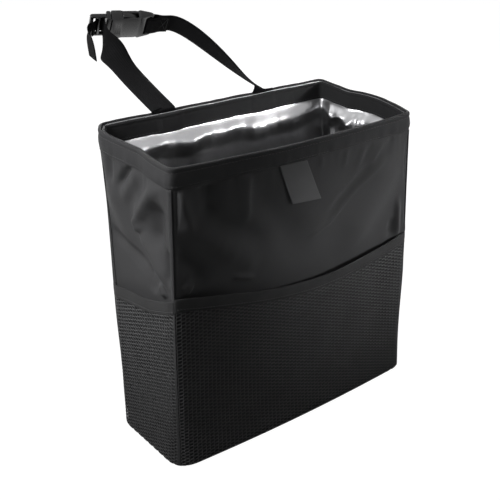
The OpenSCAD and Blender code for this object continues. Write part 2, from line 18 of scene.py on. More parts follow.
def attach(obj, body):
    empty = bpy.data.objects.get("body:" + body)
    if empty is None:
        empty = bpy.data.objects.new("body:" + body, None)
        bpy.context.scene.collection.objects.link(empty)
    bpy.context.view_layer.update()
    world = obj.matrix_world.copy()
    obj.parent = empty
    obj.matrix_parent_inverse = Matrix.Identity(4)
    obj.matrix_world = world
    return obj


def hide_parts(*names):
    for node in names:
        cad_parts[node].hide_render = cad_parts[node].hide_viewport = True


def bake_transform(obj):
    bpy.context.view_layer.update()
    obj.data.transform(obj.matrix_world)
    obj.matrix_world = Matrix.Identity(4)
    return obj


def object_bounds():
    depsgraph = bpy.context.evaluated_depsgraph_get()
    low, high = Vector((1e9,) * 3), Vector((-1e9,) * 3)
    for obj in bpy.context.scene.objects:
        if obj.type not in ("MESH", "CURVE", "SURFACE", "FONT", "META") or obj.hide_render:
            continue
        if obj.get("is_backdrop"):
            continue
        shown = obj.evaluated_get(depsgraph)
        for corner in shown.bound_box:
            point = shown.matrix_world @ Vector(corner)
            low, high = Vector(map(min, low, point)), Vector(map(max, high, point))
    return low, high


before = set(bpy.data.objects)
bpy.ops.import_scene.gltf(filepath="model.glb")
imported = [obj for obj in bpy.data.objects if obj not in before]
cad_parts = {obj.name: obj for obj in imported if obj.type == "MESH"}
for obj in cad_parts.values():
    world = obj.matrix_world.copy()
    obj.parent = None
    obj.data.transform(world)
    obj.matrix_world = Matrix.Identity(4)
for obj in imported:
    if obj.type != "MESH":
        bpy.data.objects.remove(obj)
CAD_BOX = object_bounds()
MM = 0.001
PATTERN_MAP = "UVMap"
log = logging.getLogger("trash_bin")

Array = np.ndarray
Pair = tuple[Array, Array]
Socket = bpy.types.NodeSocket
# takes column and row numbers, and returns points and pattern places, both in mm
PlaceRule = Callable[[Array, Array], Pair]
# takes the wall, shares across it, lengths round the bag in mm and row numbers, and returns heights,
# depths and pattern heights, all in mm
BandRule = Callable[["Wall", Array, Array, Array], tuple[Array, Array, Array]]


class Wall(Enum):
    """The four walls of the bag, in order round it seen from above."""

    FRONT = 0
    RIGHT = 1
    BACK = 2
    LEFT = 3

    @property
    def is_long(self) -> bool:
        """Whether this is the front or the back."""
        return self in (Wall.FRONT, Wall.BACK)

    @property
    def outward(self) -> Array:
        """The direction that its outer face looks in."""
        return np.array([(0.0, -1.0, 0.0), (1.0, 0.0, 0.0), (0.0, 1.0, 0.0), (-1.0, 0.0, 0.0)][self.value])

    def beside(self, step: int) -> "Wall":
        """The next wall round the bag, or the one before it where step is -1."""
        return Wall((self.value + step) % len(Wall))


class Body(Enum):
    """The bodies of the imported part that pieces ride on."""

    BAG = "bag"
    PLUG = "plug"


def smooth(x: Array) -> Array:
    """Eases from 0 to 1 as x goes from 0 to 1."""
    t = np.clip(x, 0.0, 1.0)
    return t * t * (3.0 - 2.0 * t)


def ease(x: Array, low: float, high: float) -> Array:
    """Eases from 0 at low to 1 at high. High may be the smaller one."""
    return smooth((x - low) / (high - low))


def same_shape(*values: Array) -> tuple[Array, ...]:
    """Brings numbers and arrays to one shape."""
    return tuple(np.array(v, float) for v in np.broadcast_arrays(*values))


def lengths_along(points: Array) -> Array:
    """The length along a line up to each of its points."""
    return np.concatenate([[0.0], np.cumsum(np.linalg.norm(np.diff(points, axis=0), axis=1))])


# Shape of the bag


@dataclass
class FoldStroke:
    """One soft fold in a wall: a ridge, or a valley when its height is negative."""

    start: tuple[float, float]
    end: tuple[float, float]
    width: float
    height: float

    def lift(self, x: Array, z: Array) -> Array:
        """Works out how far the fold stands out of the wall.

        Args:
            x: places across the wall, in mm.
            z: heights, in mm.

        Returns:
            The lift at each place, in mm.
        """
        ax, az = self.start
        dx, dz = self.end[0] - ax, self.end[1] - az
        length = math.hypot(dx, dz)
        t = ((x - ax) * dx + (z - az) * dz) / length**2
        off = ((x - ax) * dz - (z - az) * dx) / length
        # it fades over a quarter of its length to either side of each end
        ends = ease(t, -0.25, 0.25) * ease(t, 1.25, 0.75)
        return self.height * np.exp(-((off / self.width) ** 2)) * ends


@dataclass
class BagForm:
    """The bag's shape: where any place of any ply of its four walls lies."""

    # the walls' outer faces and their slow bulges, as in the part's source
    width: float = 262.0
    height: float = 280.0
    base_depth: float = 90.0
    mouth_depth: float = 120.0
    base_round: float = 5.0
    front_hollow: float = 8.0
    side_hollow: float = 7.0
    side_swell: float = 6.0
    swell_drop: float = 90.0
    # plies and the room between them
    hem: float = 18.0
    facing: float = 18.0
    cloth: float = 0.6
    lining: float = 0.3
    board: float = 1.2
    strip: float = 1.0
    gap: float = 0.15
    web: float = 1.2
    # how far the corners' rounds reach along a wall, and between which heights that changes
    base_corner: float = 10.0
    mid_corner: float = 4.0
    rim_corner: float = 6.5
    left_front_round: float = 9.0
    corner_limit: float = 0.45
    base_corner_zone: tuple[float, float] = (120.0, 30.0)
    rim_corner_zone: tuple[float, float] = (150.0, 260.0)
    left_front_zone: tuple[float, float] = (60.0, 5.0)
    # how the rim wanders, and the share of it that the strips leave to the long rims
    rim_wave: float = 1.3
    rim_wave_zone: tuple[float, float] = (215.0, 275.0)
    long_rim_share: float = 0.55
    front_rim_sag: float = 4.0
    front_foot_swell: float = 5.0
    # folds of the cloth, and the lengths over which they fade at a wall's ends, below the hem and at the foot
    fold_edge: float = 9.0
    fold_top: float = 6.0
    fold_foot: float = 25.0
    fold_gain: dict[Wall, float] = field(
        default_factory=lambda: {Wall.FRONT: 1.6, Wall.RIGHT: 1.0, Wall.BACK: 1.0, Wall.LEFT: 1.9}
    )
    # how far the real bag's soft corners stand off a straight box, at the rim and at the base
    rim_sway: dict[str, tuple[float, float, float]] = field(
        default_factory=lambda: {
            "left_front": (-1.7, 0.6, -1.1),
            "right_front": (-1.3, -1.2, -5.0),
            "left_back": (6.0, -1.7, 4.5),
            "right_back": (-2.7, 2.5, 0.3),
        }
    )
    base_sway: dict[str, tuple[float, float, float]] = field(
        default_factory=lambda: {
            "left_front": (-8.5, -6.5, 0.0),
            "right_front": (8.0, -1.5, 0.0),
            "left_back": (-6.5, -3.0, 0.0),
            "right_back": (0.0, 0.0, 0.0),
        }
    )
    right_swell: tuple[tuple[float, float], ...] = (
        (-1.0, 0.0), (-0.72, 0.55), (-0.45, 0.95), (-0.1, 1.15),
        (0.12, 0.75), (0.3, 0.0), (0.6, -0.1), (1.0, 0.0),
    )
    left_swell: tuple[tuple[float, float], ...] = (
        (-1.0, 0.2), (-0.8, 1.1), (-0.4, 1.0), (-0.05, 0.5),
        (0.15, 0.12), (0.45, 0.2), (0.75, 0.15), (1.0, 0.0),
    )
    folds: dict[Wall, list[FoldStroke]] = field(
        default_factory=lambda: {
            Wall.FRONT: [
                FoldStroke((-124, 258), (-114, 224), 7.0, 2.8),
                FoldStroke((-114, 224), (-72, 192), 9.0, 2.6),
                FoldStroke((-72, 192), (-46, 170), 10.0, 1.4),
                FoldStroke((-98, 266), (-92, 232), 10.0, -2.2),
                FoldStroke((-92, 232), (-34, 190), 10.5, -2.4),
                FoldStroke((-128, 208), (-98, 176), 9.0, -2.6),
                FoldStroke((-118, 179), (-113, 170), 5.0, 2.0),
                FoldStroke((-56, 262), (-54, 218), 5.5, 2.0),
                FoldStroke((-45, 246), (2, 178), 18.0, -3.0),
                FoldStroke((-66, 167), (-47, 161), 2.6, 1.2),
                FoldStroke((98, 240), (68, 218), 2.6, 1.3),
                FoldStroke((68, 218), (41, 193), 2.6, 1.2),
                FoldStroke((41, 193), (18, 182), 3.4, 0.9),
                FoldStroke((95, 246), (40, 200), 6.0, -1.5),
                FoldStroke((112, 236), (60, 160), 18.0, 3.6),
                FoldStroke((120, 192), (121, 158), 3.0, 1.8),
                FoldStroke((114, 174), (112, 157), 3.4, -1.0),
                FoldStroke((24, 264), (26, 250), 3.0, 0.4),
                FoldStroke((55, 266), (52, 244), 3.2, 0.6),
                FoldStroke((76, 266), (68, 240), 3.4, 0.8),
                FoldStroke((98, 266), (84, 236), 4.0, 1.0),
                FoldStroke((86, 266), (76, 244), 3.0, -0.5),
                FoldStroke((108, 266), (100, 240), 4.0, -0.6),
            ],
            Wall.RIGHT: [
                FoldStroke((-30, 262), (10, 200), 11.0, 2.6),
                FoldStroke((20, 262), (34, 215), 7.0, -2.0),
                FoldStroke((38, 200), (-10, 165), 10.0, 2.0),
            ],
            Wall.LEFT: [
                FoldStroke((-24, 256), (12, 219), 7.0, 3.2),
                FoldStroke((12, 219), (6, 209), 6.0, 2.6),
                FoldStroke((6, 209), (-31, 176), 7.0, 3.4),
                FoldStroke((-26, 240), (-16, 205), 9.0, -3.6),
                FoldStroke((-35, 205), (-36, 180), 4.0, -2.4),
                FoldStroke((14, 266), (35, 240), 3.4, -2.4),
                FoldStroke((6, 258), (30, 230), 6.0, 1.4),
                FoldStroke((58, 188), (2, 175), 6.5, -2.0),
                FoldStroke((2, 175), (-6, 158), 6.0, -1.2),
                FoldStroke((52, 232), (30, 186), 15.0, 1.8),
                FoldStroke((-19, 170), (-24, 161), 5.0, 2.2),
                FoldStroke((44, 262), (50, 240), 5.0, -1.4),
            ],
            Wall.BACK: [
                FoldStroke((-80, 250), (-40, 150), 20.0, 1.0),
                FoldStroke((90, 240), (30, 120), 22.0, 1.0),
            ],
        }
    )

    @property
    def board_in(self) -> float:
        """Depth of the boards below the outer face."""
        return self.cloth + self.gap

    @property
    def strip_in(self) -> float:
        """Depth of the hem's stiffening strips."""
        return self.board_in + self.web + self.gap

    @property
    def lining_in(self) -> float:
        """Depth of the foil lining."""
        return self.strip_in + self.strip + self.gap

    @property
    def facing_in(self) -> float:
        """Depth of the facing."""
        return self.lining_in + self.lining + self.gap

    @property
    def hem_foot(self) -> float:
        """Height of the hem's lower edge."""
        return self.height - self.hem

    def back_y(self, z: Array) -> Array:
        """Y of the back wall's outer face at a height."""
        return self.base_depth / 2 + (self.mouth_depth - self.base_depth) * z / self.height

    def mid_y(self, z: Array) -> Array:
        """Y of the middle between the front and back walls at a height."""
        return (self.back_y(z) - self.base_depth / 2) / 2

    def half_length(self, wall: Wall, z: Array, d: Array) -> Array:
        """Half the length of a wall at a height and depth."""
        half = self.width / 2 + 0 * z if wall.is_long else (self.back_y(z) + self.base_depth / 2) / 2
        return half - d - self.turn_in(z)

    def across(self, wall: Wall, s: Array, z: Array, d: Array) -> Array:
        """X or y of a place across a wall, given as a share from -1 to 1."""
        way = 1.0 if wall in (Wall.FRONT, Wall.RIGHT) else -1.0
        return (0.0 if wall.is_long else self.mid_y(z)) + way * s * self.half_length(wall, z, d)

    def turn_in(self, z: Array) -> Array:
        """How far the walls draw in as they turn under at the base."""
        r = self.base_round
        low = np.clip(r - z, 0.0, r)
        return r - np.sqrt(r * r - low * low)

    def sharp(self, wall: Wall, s: Array, z: Array, d: Array) -> Array:
        """Places points of a wall as if its corners were sharp.

        Args:
            wall: the wall.
            s: places across it, from -1 to 1.
            z: heights, in mm.
            d: depths below the outer face, in mm.

        Returns:
            An array of points, in mm.
        """
        a = d + self.turn_in(z)
        across = self.across(wall, s, z, d)
        belly = 1.0 - s**4
        v = np.clip(z, 0.0, None) / self.height
        if wall is Wall.FRONT:
            dip = self.front_hollow * belly * np.sin(np.pi * v**0.8)
            return np.stack([across, -self.base_depth / 2 + a + dip, z], -1)
        if wall is Wall.BACK:
            return np.stack([across, self.back_y(z) - a, z], -1)
        dip = self.side_hollow * belly * np.sin(np.pi * np.clip(v / 0.85, 0.0, 1.0) ** 0.9)
        share = np.clip(1.0 - np.clip(self.hem_foot - z, 0.0, None) / self.swell_drop, 0.0, None) ** 2
        table = self.right_swell if wall is Wall.RIGHT else self.left_swell
        out = self.width / 2 - a + self.side_swell * soft_lookup(s, table) * share - dip
        return np.stack([out if wall is Wall.RIGHT else -out, across, z], -1)

    def fold_lift(self, wall: Wall, s: Array, z: Array, d: Array) -> Array:
        """How far the soft folds lift a wall outwards, in mm."""
        across = self.across(wall, s, z, d)
        lift = sum(fold.lift(across, z) for fold in self.folds[wall])
        edge = smooth((1.0 - np.abs(s)) * self.half_length(wall, z, d) / self.fold_edge)
        top = smooth((self.hem_foot + 1.0 - z) / self.fold_top)
        return lift * edge * top * smooth(z / self.fold_foot) * self.fold_gain[wall]

    def at_left_front(self, wall: Wall, s: Array, z: Array) -> Array:
        """1 at the foot of the left front corner, easing to 0 above it, and 0 away from it."""
        side = {Wall.FRONT: -1.0, Wall.LEFT: 1.0}.get(wall, 0.0)
        return (s * side > 0) * ease(z, *self.left_front_zone)

    def corner_reach(self, wall: Wall, s: Array, z: Array) -> Array:
        """How far the nearest corner's round reaches along a wall's outer face, in mm."""
        rim = (self.rim_corner - self.mid_corner) * ease(z, *self.rim_corner_zone)
        base = (self.base_corner - self.mid_corner) * ease(z, *self.base_corner_zone)
        return self.mid_corner + rim + base + self.left_front_round * self.at_left_front(wall, s, z)

    def sway(self, p: Array) -> Array:
        """Shifts points as the real bag's soft corners stand.

        Args:
            p: points, in mm.

        Returns:
            The shifted points, in mm.
        """
        u = np.clip((p[..., 0] + self.width / 2) / self.width, 0, 1)[..., None]
        v = np.clip((p[..., 1] + self.base_depth / 2) / self.mouth_depth, 0, 1)[..., None]
        w = np.clip(p[..., 2] / self.height, 0, 1)[..., None]

        def over(table: dict[str, tuple[float, float, float]]) -> Array:
            """Blends a table of corner shifts over the plan."""
            lf, rf = np.array(table["left_front"]), np.array(table["right_front"])
            lb, rb = np.array(table["left_back"]), np.array(table["right_back"])
            return (1 - v) * ((1 - u) * lf + u * rf) + v * ((1 - u) * lb + u * rb)

        q = p + w * over(self.rim_sway) + (1 - w) * over(self.base_sway)
        q[..., 2] -= (self.front_rim_sag * (4 * u * (1 - u)) * (1 - v) * w**6)[..., 0]
        q[..., 1] -= (self.front_foot_swell * (4 * u * (1 - u)) * (1 - v) * (1 - w) ** 6)[..., 0]
        return q

    def place(self, wall: Wall, s: Array, z: Array, d: Array, folded: bool = True) -> Array:
        """Places points of a wall with its soft corners, folds and sway.

        Args:
            wall: the wall.
            s: places across it, from -1 to 1.
            z: heights, in mm.
            d: depths below the outer face, in mm.
            folded: whether the soft folds are in it.

        Returns:
            An array of points, in mm.
        """
        s, z, d = same_shape(s, z, d)
        p = self.sharp(wall, s, z, d)
        if folded:
            p = p + self.fold_lift(wall, s, z, d)[..., None] * wall.outward
        half = np.maximum(self.half_length(wall, z, d), 0.5)
        reach = np.maximum(self.corner_reach(wall, s, z) - 0.8 * d, 1.0)
        reach = np.minimum(reach, self.corner_limit * half)
        gap = (1.0 - np.abs(s)) * half
        for way in (1, -1):
            m = (gap < reach) & ((s >= 0) == (way > 0))
            if not m.any():
                continue
            other = wall.beside(way)
            zz, dd, rr = z[m], d[m], reach[m]
            beyond = np.minimum(rr / np.maximum(self.half_length(other, zz, dd), 0.5), self.corner_limit)
            start = self.sharp(wall, way * (1 - rr / half[m]), zz, dd)
            tip = self.sharp(wall, way + 0 * zz, zz, dd)
            end = self.sharp(other, -way * (1 - beyond), zz, dd)
            t = (0.5 * (1 - gap[m] / rr))[:, None]
            p[m] = (1 - t) ** 2 * start + 2 * t * (1 - t) * tip + t**2 * end
        return self.sway(self.wave(wall, s, z, p))

    def wave(self, wall: Wall, s: Array, z: Array, p: Array) -> Array:
        """Lets the rim wander a little, all its plies together.

        Args:
            wall: the wall.
            s: places across it, from -1 to 1.
            z: heights, in mm.
            p: the points there, in mm.

        Returns:
            The shifted points, in mm.
        """
        share = ease(z, *self.rim_wave_zone)
        high = share > 0
        if not high.any():
            return p
        plan = self.sharp(wall, s[high], self.height + 0 * s[high], 0 * s[high])[:, :2]
        size = self.rim_wave * (self.long_rim_share if wall.is_long else 1.0) * share[high]
        p = p.copy()
        for axis, gain, scale, seed in ((0, 1.0, 34.0, 65.0), (1, 1.0, 38.0, 69.0), (2, 0.8, 42.0, 61.0)):
            p[high, axis] += gain * size * noise_at(plan, scale, seed)
        return p


def soft_lookup(s: Array, table: Sequence[tuple[float, float]]) -> Array:
    """Reads a table of places and values with smooth turns between its entries.

    Args:
        s: places.
        table: pairs of place and value, in rising order of place.

    Returns:
        The value at each place.
    """
    xs = np.array([a for a, _ in table])
    ys = np.array([b for _, b in table])
    i = np.clip(np.searchsorted(xs, s, side="right") - 1, 0, len(xs) - 2)
    t = np.clip((s - xs[i]) / (xs[i + 1] - xs[i]), 0.0, 1.0)
    slopes = np.gradient(ys, xs)
    slopes[0] = slopes[-1] = 0.0
    h = xs[i + 1] - xs[i]
    return (
        (2 * t**3 - 3 * t**2 + 1) * ys[i]
        + (t**3 - 2 * t**2 + t) * h * slopes[i]
        + (-2 * t**3 + 3 * t**2) * ys[i + 1]
        + (t**3 - t**2) * h * slopes[i + 1]
    )


# Meshes


def clear_selection() -> None:
    """Deselects every object."""
    if bpy.context.object and bpy.context.object.mode != "OBJECT":
        bpy.ops.object.mode_set(mode="OBJECT")
    bpy.ops.object.select_all(action="DESELECT")


def only(obj: bpy.types.Object) -> bpy.types.Object:
    """Selects one object and makes it active."""
    clear_selection()
    obj.select_set(True)
    bpy.context.view_layer.objects.active = obj
    return obj


def bake_modifier(obj: bpy.types.Object, kind: str, **settings: object) -> None:
    """Adds a modifier with the given settings and applies it.

    Args:
        obj: the piece.
        kind: the modifier's type.
        settings: values for the modifier.
    """
    only(obj)
    mod = obj.modifiers.new(kind.lower(), kind)
    for key, value in settings.items():
        setattr(mod, key, value)
    bpy.ops.object.modifier_apply(modifier=mod.name)


def edit_all(obj: bpy.types.Object, *steps: Callable[[], object]) -> None:
    """Runs edit-mode operators on the whole of a mesh."""
    only(obj)
    bpy.ops.object.mode_set(mode="EDIT")
    bpy.ops.mesh.select_all(action="SELECT")
    for step in steps:
        step()
    bpy.ops.object.mode_set(mode="OBJECT")


def thicken(obj: bpy.types.Object, thickness: float, **settings: object) -> None:
    """Gives a sheet its thickness, in mm, behind its outer face."""
    bake_modifier(obj, "SOLIDIFY", thickness=thickness * MM, offset=-1.0, **settings)


def lay_pattern(mesh: bpy.types.Mesh, places: Array) -> None:
    """Fills a mesh's first pattern map.

    Args:
        mesh: the mesh.
        places: pattern places of its points, in mm.
    """
    corner = np.empty(len(mesh.loops), int)
    mesh.loops.foreach_get("vertex_index", corner)
    mesh.uv_layers[0].name = PATTERN_MAP
    mesh.uv_layers[0].data.foreach_set("uv", (places[corner] * MM).ravel())
    mesh.update()


def grid_piece(name: str, cols: int, rows: int, where: PlaceRule) -> bpy.types.Object:
    """Adds a grid and shapes it into a sheet.

    Args:
        name: the piece's name.
        cols: number of columns of points.
        rows: number of rows of points.
        where: says where its points lie.

    Returns:
        The new piece.
    """
    clear_selection()
    bpy.ops.mesh.primitive_grid_add(x_subdivisions=cols - 1, y_subdivisions=rows - 1, size=2.0)
    obj = bpy.context.object
    obj.name = obj.data.name = name
    mesh = obj.data
    co = np.empty(len(mesh.vertices) * 3)
    mesh.vertices.foreach_get("co", co)
    co = co.reshape(-1, 3)
    i = np.rint((co[:, 0] + 1) / 2 * (cols - 1)).astype(int)
    j = np.rint((co[:, 1] + 1) / 2 * (rows - 1)).astype(int)
    points, places = where(i, j)
    mesh.vertices.foreach_set("co", (points * MM).ravel())
    lay_pattern(mesh, places)
    return obj


def raw_piece(name: str, points: Array, faces: Array, places: Array) -> bpy.types.Object:
    """Makes a piece of woven or knitted stuff from points and faces.

    Args:
        name: the piece's name.
        points: its points, in mm.
        faces: the point numbers of its faces.
        places: pattern places of the points, in mm.

    Returns:
        The new piece.
    """
    mesh = bpy.data.meshes.new(name)
    mesh.from_pydata((points * MM).tolist(), [], faces.tolist())
    obj = bpy.data.objects.new(name, mesh)
    bpy.context.scene.collection.objects.link(obj)
    mesh.uv_layers.new()
    lay_pattern(mesh, places)
    return obj


def hand_in(
    obj: bpy.types.Object,
    body: Body,
    material: bpy.types.Material,
    node: Optional[str] = None,
    flat_shading: bool = False,
    bends_to: Optional[Body] = None,
) -> bpy.types.Object:
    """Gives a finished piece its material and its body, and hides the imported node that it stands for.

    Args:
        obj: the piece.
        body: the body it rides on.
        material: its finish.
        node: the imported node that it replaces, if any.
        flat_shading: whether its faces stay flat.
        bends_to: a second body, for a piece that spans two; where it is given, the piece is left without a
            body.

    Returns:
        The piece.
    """
    obj.data.materials.clear()
    obj.data.materials.append(material)
    if not flat_shading:
        obj.data.shade_smooth()
    if bends_to is None:
        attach(obj, body.value)
    if node:
        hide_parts(node)
    log.info("%s: %d faces", obj.name, len(obj.data.polygons))
    return obj


def noise_at(points: Array, scale: float, seed: float) -> Array:
    """Smooth noise from -1 to 1 at points in mm.

    Args:
        points: an array of places in two dimensions.
        scale: size of the noise's lumps, in mm.
        seed: shifts the noise.

    Returns:
        The noise at each place.
    """
    out = np.empty(len(points))
    for k, (x, y) in enumerate(points / scale):
        out[k] = noise.noise(Vector((x + seed, y - seed * 0.7, seed * 1.3)))
    return out


def noise_along(run: Array, scale: float, seed: float) -> Array:
    """Smooth noise from -1 to 1 along one direction, in mm."""
    return noise_at(np.stack([run, 0 * run], -1), scale, seed)


# Finishes


class Graph:
    """A node tree, with short ways to add the nodes that the finishes and the studio share."""

    def __init__(self, owner: bpy.types.ID) -> None:
        """Takes up the node tree of a material or a world.

        Args:
            owner: the material or world.
        """
        owner.use_nodes = True
        self.tree = owner.node_tree

    def feed(self, node: bpy.types.Node, inputs: Mapping[Union[str, int], object]) -> None:
        """Sets inputs of a node.

        Args:
            node: the node.
            inputs: a socket or a value for each input.
        """
        for key, value in inputs.items():
            if isinstance(value, Socket):
                self.tree.links.new(value, node.inputs[key])
            else:
                node.inputs[key].default_value = value

    def add(self, kind: str, inputs: Optional[Mapping[Union[str, int], object]] = None) -> bpy.types.Node:
        """Adds a node.

        Args:
            kind: its type, as Blender calls it after ShaderNode.
            inputs: a socket or a value for each input that is set.

        Returns:
            The node.
        """
        node = self.tree.nodes.new("ShaderNode" + kind)
        self.feed(node, inputs or {})
        return node

    def calc(self, operation: str, a: object, b: object = 0.0) -> Socket:
        """Adds a Math node on two sockets or numbers, and returns its value."""
        node = self.add("Math", {0: a, 1: b})
        node.operation = operation
        return node.outputs[0]

    def map_range(
        self, value: Socket, low: float, high: float, out_low: float, out_high: float
    ) -> Socket:
        """Adds a Map Range node and returns its result."""
        span = {"Value": value, "From Min": low, "From Max": high, "To Min": out_low, "To Max": out_high}
        return self.add("MapRange", span).outputs[0]

    def plainly_seen(self) -> Socket:
        """Tells whether a ray comes from the camera, a gloss or a clear surface: it sees the background."""
        path = self.add("LightPath").outputs
        gloss = self.calc("MAXIMUM", path["Is Glossy Ray"], path["Is Transmission Ray"])
        return self.calc("MAXIMUM", path["Is Camera Ray"], gloss)


class Surface(Graph):
    """A material with one shader, on which a finish draws its pattern."""

    def __init__(self, name: str) -> None:
        """Makes the material.

        Args:
            name: its name.
        """
        self.material = bpy.data.materials.new(name)
        super().__init__(self.material)
        self.shader = self.tree.nodes["Principled BSDF"]

    def pattern(self) -> tuple[Socket, Socket, Socket]:
        """Adds the piece's own pattern map.

        Returns:
            The map's vector, and its two directions, in metres along the cloth.
        """
        uv = self.add("UVMap")
        uv.uv_map = PATTERN_MAP
        parts = self.add("SeparateXYZ", {0: uv.outputs[0]})
        return uv.outputs[0], parts.outputs[0], parts.outputs[1]

    def position(self) -> Socket:
        """Adds the place in the part's frame, in metres."""
        return self.add("TexCoord").outputs["Object"]

    def noise(
        self, where: Socket, scale: float, detail: float = 2.0, distort: float = 0.0
    ) -> Socket:
        """Adds a Noise Texture and returns its value."""
        return self.add(
            "TexNoise", {"Vector": where, "Scale": scale, "Detail": detail, "Distortion": distort}
        ).outputs[0]

    def wave(self, along: Socket, pitch: float) -> Socket:
        """Adds a sine along one direction, with its pitch in mm."""
        return self.calc("SINE", self.calc("MULTIPLY", along, 2 * math.pi / (pitch * MM)))

    def shades(self, value: Socket, dark: Sequence[float], light: Sequence[float]) -> None:
        """Lets the colour run from a dark shade to a light one as a value goes from 0 to 1."""
        node = self.add("ValToRGB", {0: value})
        node.color_ramp.elements[0].color = (*dark, 1.0)
        node.color_ramp.elements[1].color = (*light, 1.0)
        self.feed(self.shader, {"Base Color": node.outputs[0]})

    def bump(
        self,
        height: Socket,
        depth: float,
        strength: float,
        under: Optional[Socket] = None,
    ) -> Socket:
        """Adds a Bump node in front of the shader's normal.

        Args:
            height: the height field.
            depth: its depth, in mm.
            strength: the bump's strength.
            under: the normal of a bump that this one lies on.

        Returns:
            The bumped normal.
        """
        node = self.add("Bump", {"Height": height, "Distance": depth * MM, "Strength": strength})
        if under is not None:
            self.feed(node, {"Normal": under})
        self.feed(self.shader, {"Normal": node.outputs[0]})
        return node.outputs[0]


@dataclass(frozen=True)
class Finish:
    """A surface finish. Each kind draws its own pattern."""

    name: str
    color: tuple[float, float, float]
    roughness: float = 0.6
    specular: float = 0.4

    def build(self) -> bpy.types.Material:
        """Makes the material."""
        surface = Surface(self.name)
        color = (*self.color, 1.0)
        plain = {"Base Color": color, "Roughness": self.roughness, "Specular IOR Level": self.specular}
        surface.feed(surface.shader, plain)
        self.draw(surface)
        return surface.material

    def draw(self, surface: Surface) -> None:
        """Draws the finish's pattern. A plain finish has none.

        Args:
            surface: the surface that takes it.
        """

    def tint(self, surface: Surface, value: Socket, dark: float, light: float) -> None:
        """Varies the colour from a dark to a light share of itself with a value."""
        surface.shades(value, [c * dark for c in self.color], [c * light for c in self.color])

    def roughen(
        self,
        surface: Surface,
        value: Socket,
        less: float,
        more: float,
        low: float = 0.3,
        high: float = 0.7,
    ) -> None:
        """Varies the roughness with a value.

        Args:
            surface: the surface that takes it.
            value: the value.
            less: how much smoother the surface is where the value is low.
            more: how much rougher it is where the value is high.
            low: the low value.
            high: the high value.
        """
        span = surface.map_range(value, low, high, self.roughness - less, self.roughness + more)
        surface.feed(surface.shader, {"Roughness": span})


@dataclass(frozen=True)
class CoatedCloth(Finish):
    """Tightly woven cloth with a thin coating that gives it a soft sheen."""

    thread: float = 0.62
    weave_depth: float = 0.05

    def draw(self, surface: Surface) -> None:
        """Draws the weave, its slubs and the slow unevenness of the coating."""
        where, u, v = surface.pattern()
        weave = surface.calc("MULTIPLY", surface.wave(u, self.thread), surface.wave(v, self.thread * 0.9))
        slub = surface.calc("MULTIPLY", surface.noise(where, 900.0, 1.0), 0.9)
        cloud = surface.noise(where, 16.0, 3.0, 0.6)
        self.tint(surface, cloud, 0.82, 1.22)
        self.roughen(surface, cloud, 0.04, 0.05)
        soft = surface.bump(surface.noise(where, 55.0), 0.35, 0.5)
        surface.bump(surface.calc("ADD", weave, slub), self.weave_depth, 0.7, soft)


@dataclass(frozen=True)
class RibbedTape(Finish):
    """Narrow woven tape with ribs across it."""

    rib: float = 1.1
    sheen: float = 0.02

    def draw(self, surface: Surface) -> None:
        """Draws the ribs and the fine weave between them."""
        where, u, v = surface.pattern()
        fine = surface.calc("MULTIPLY", surface.wave(u, self.rib / 2), surface.wave(v, 0.55))
        height = surface.calc("ADD", surface.wave(u, self.rib), surface.calc("MULTIPLY", fine, 0.5))
        self.tint(surface, surface.noise(where, 60.0), 0.8, 1.25)
        surface.bump(height, 0.07, 0.8)
        surface.feed(surface.shader, {"Sheen Weight": self.sheen})


@dataclass(frozen=True)
class Webbing(Finish):
    """Heavy woven strap with lengthwise cords and a fine weft across them."""

    cord: float = 2.1
    weft: float = 1.25
    sheen: float = 0.005

    def draw(self, surface: Surface) -> None:
        """Draws the cords, and the weft that slants over them."""
        where, u, v = surface.pattern()
        cords = surface.wave(v, self.cord)
        slant = surface.calc("ADD", u, surface.calc("MULTIPLY", cords, 0.4 * MM))
        weft = surface.calc("MULTIPLY", surface.wave(slant, self.weft), surface.calc("ABSOLUTE", cords))
        height = surface.calc("ADD", surface.calc("MULTIPLY", cords, 0.6), weft)
        self.tint(surface, surface.noise(where, 90.0), 0.78, 1.3)
        self.roughen(surface, height, -0.08, -0.08, -1.5, 1.5)
        surface.bump(height, 0.12, 0.8)
        surface.feed(surface.shader, {"Sheen Weight": self.sheen})


@dataclass(frozen=True)
class NetYarn(Finish):
    """Knitted net yarn."""

    def draw(self, surface: Surface) -> None:
        """Draws the yarn's twist."""
        where, u, v = surface.pattern()
        self.tint(surface, surface.noise(where, 40.0), 0.8, 1.25)
        surface.bump(surface.wave(surface.calc("ADD", u, v), 0.5), 0.04, 0.5)


@dataclass(frozen=True)
class Foil(Finish):
    """Silver film: metallic, finely crinkled and a little cloudy, with painted shade that darkens its colour
    below the rim.
    """

    # painted shade: the share of its colour that the film keeps deep in the bag, and the heights in metres
    # between which it eases back to its whole colour
    painted_shade_share: float = 0.45
    painted_shade_zone: tuple[float, float] = (0.222, 0.262)

    def draw(self, surface: Surface) -> None:
        """Draws the crinkles, and painted shade that darkens the film further down."""
        where, _, _ = surface.pattern()
        height = surface.add("SeparateXYZ", {0: surface.position()}).outputs[2]
        # painted shade: the colour falls to a share of itself further down, where the inside of the bag lies
        # in shade
        self.tint(surface, surface.map_range(height, *self.painted_shade_zone, 0.0, 1.0), self.painted_shade_share, 1.0)
        self.roughen(surface, surface.noise(where, 22.0), 0.06, 0.08)
        cells = surface.add("TexVoronoi", {"Vector": where, "Scale": 130.0})
        cells.feature = "DISTANCE_TO_EDGE"
        edges = surface.map_range(cells.outputs[0], 0.0, 0.25, 1.0, 0.0)
        broad = surface.bump(surface.noise(where, 75.0, 3.0, 1.2), 0.5, 0.5)
        surface.bump(edges, 0.08, 0.35, broad)
        surface.feed(surface.shader, {"Metallic": 1.0})


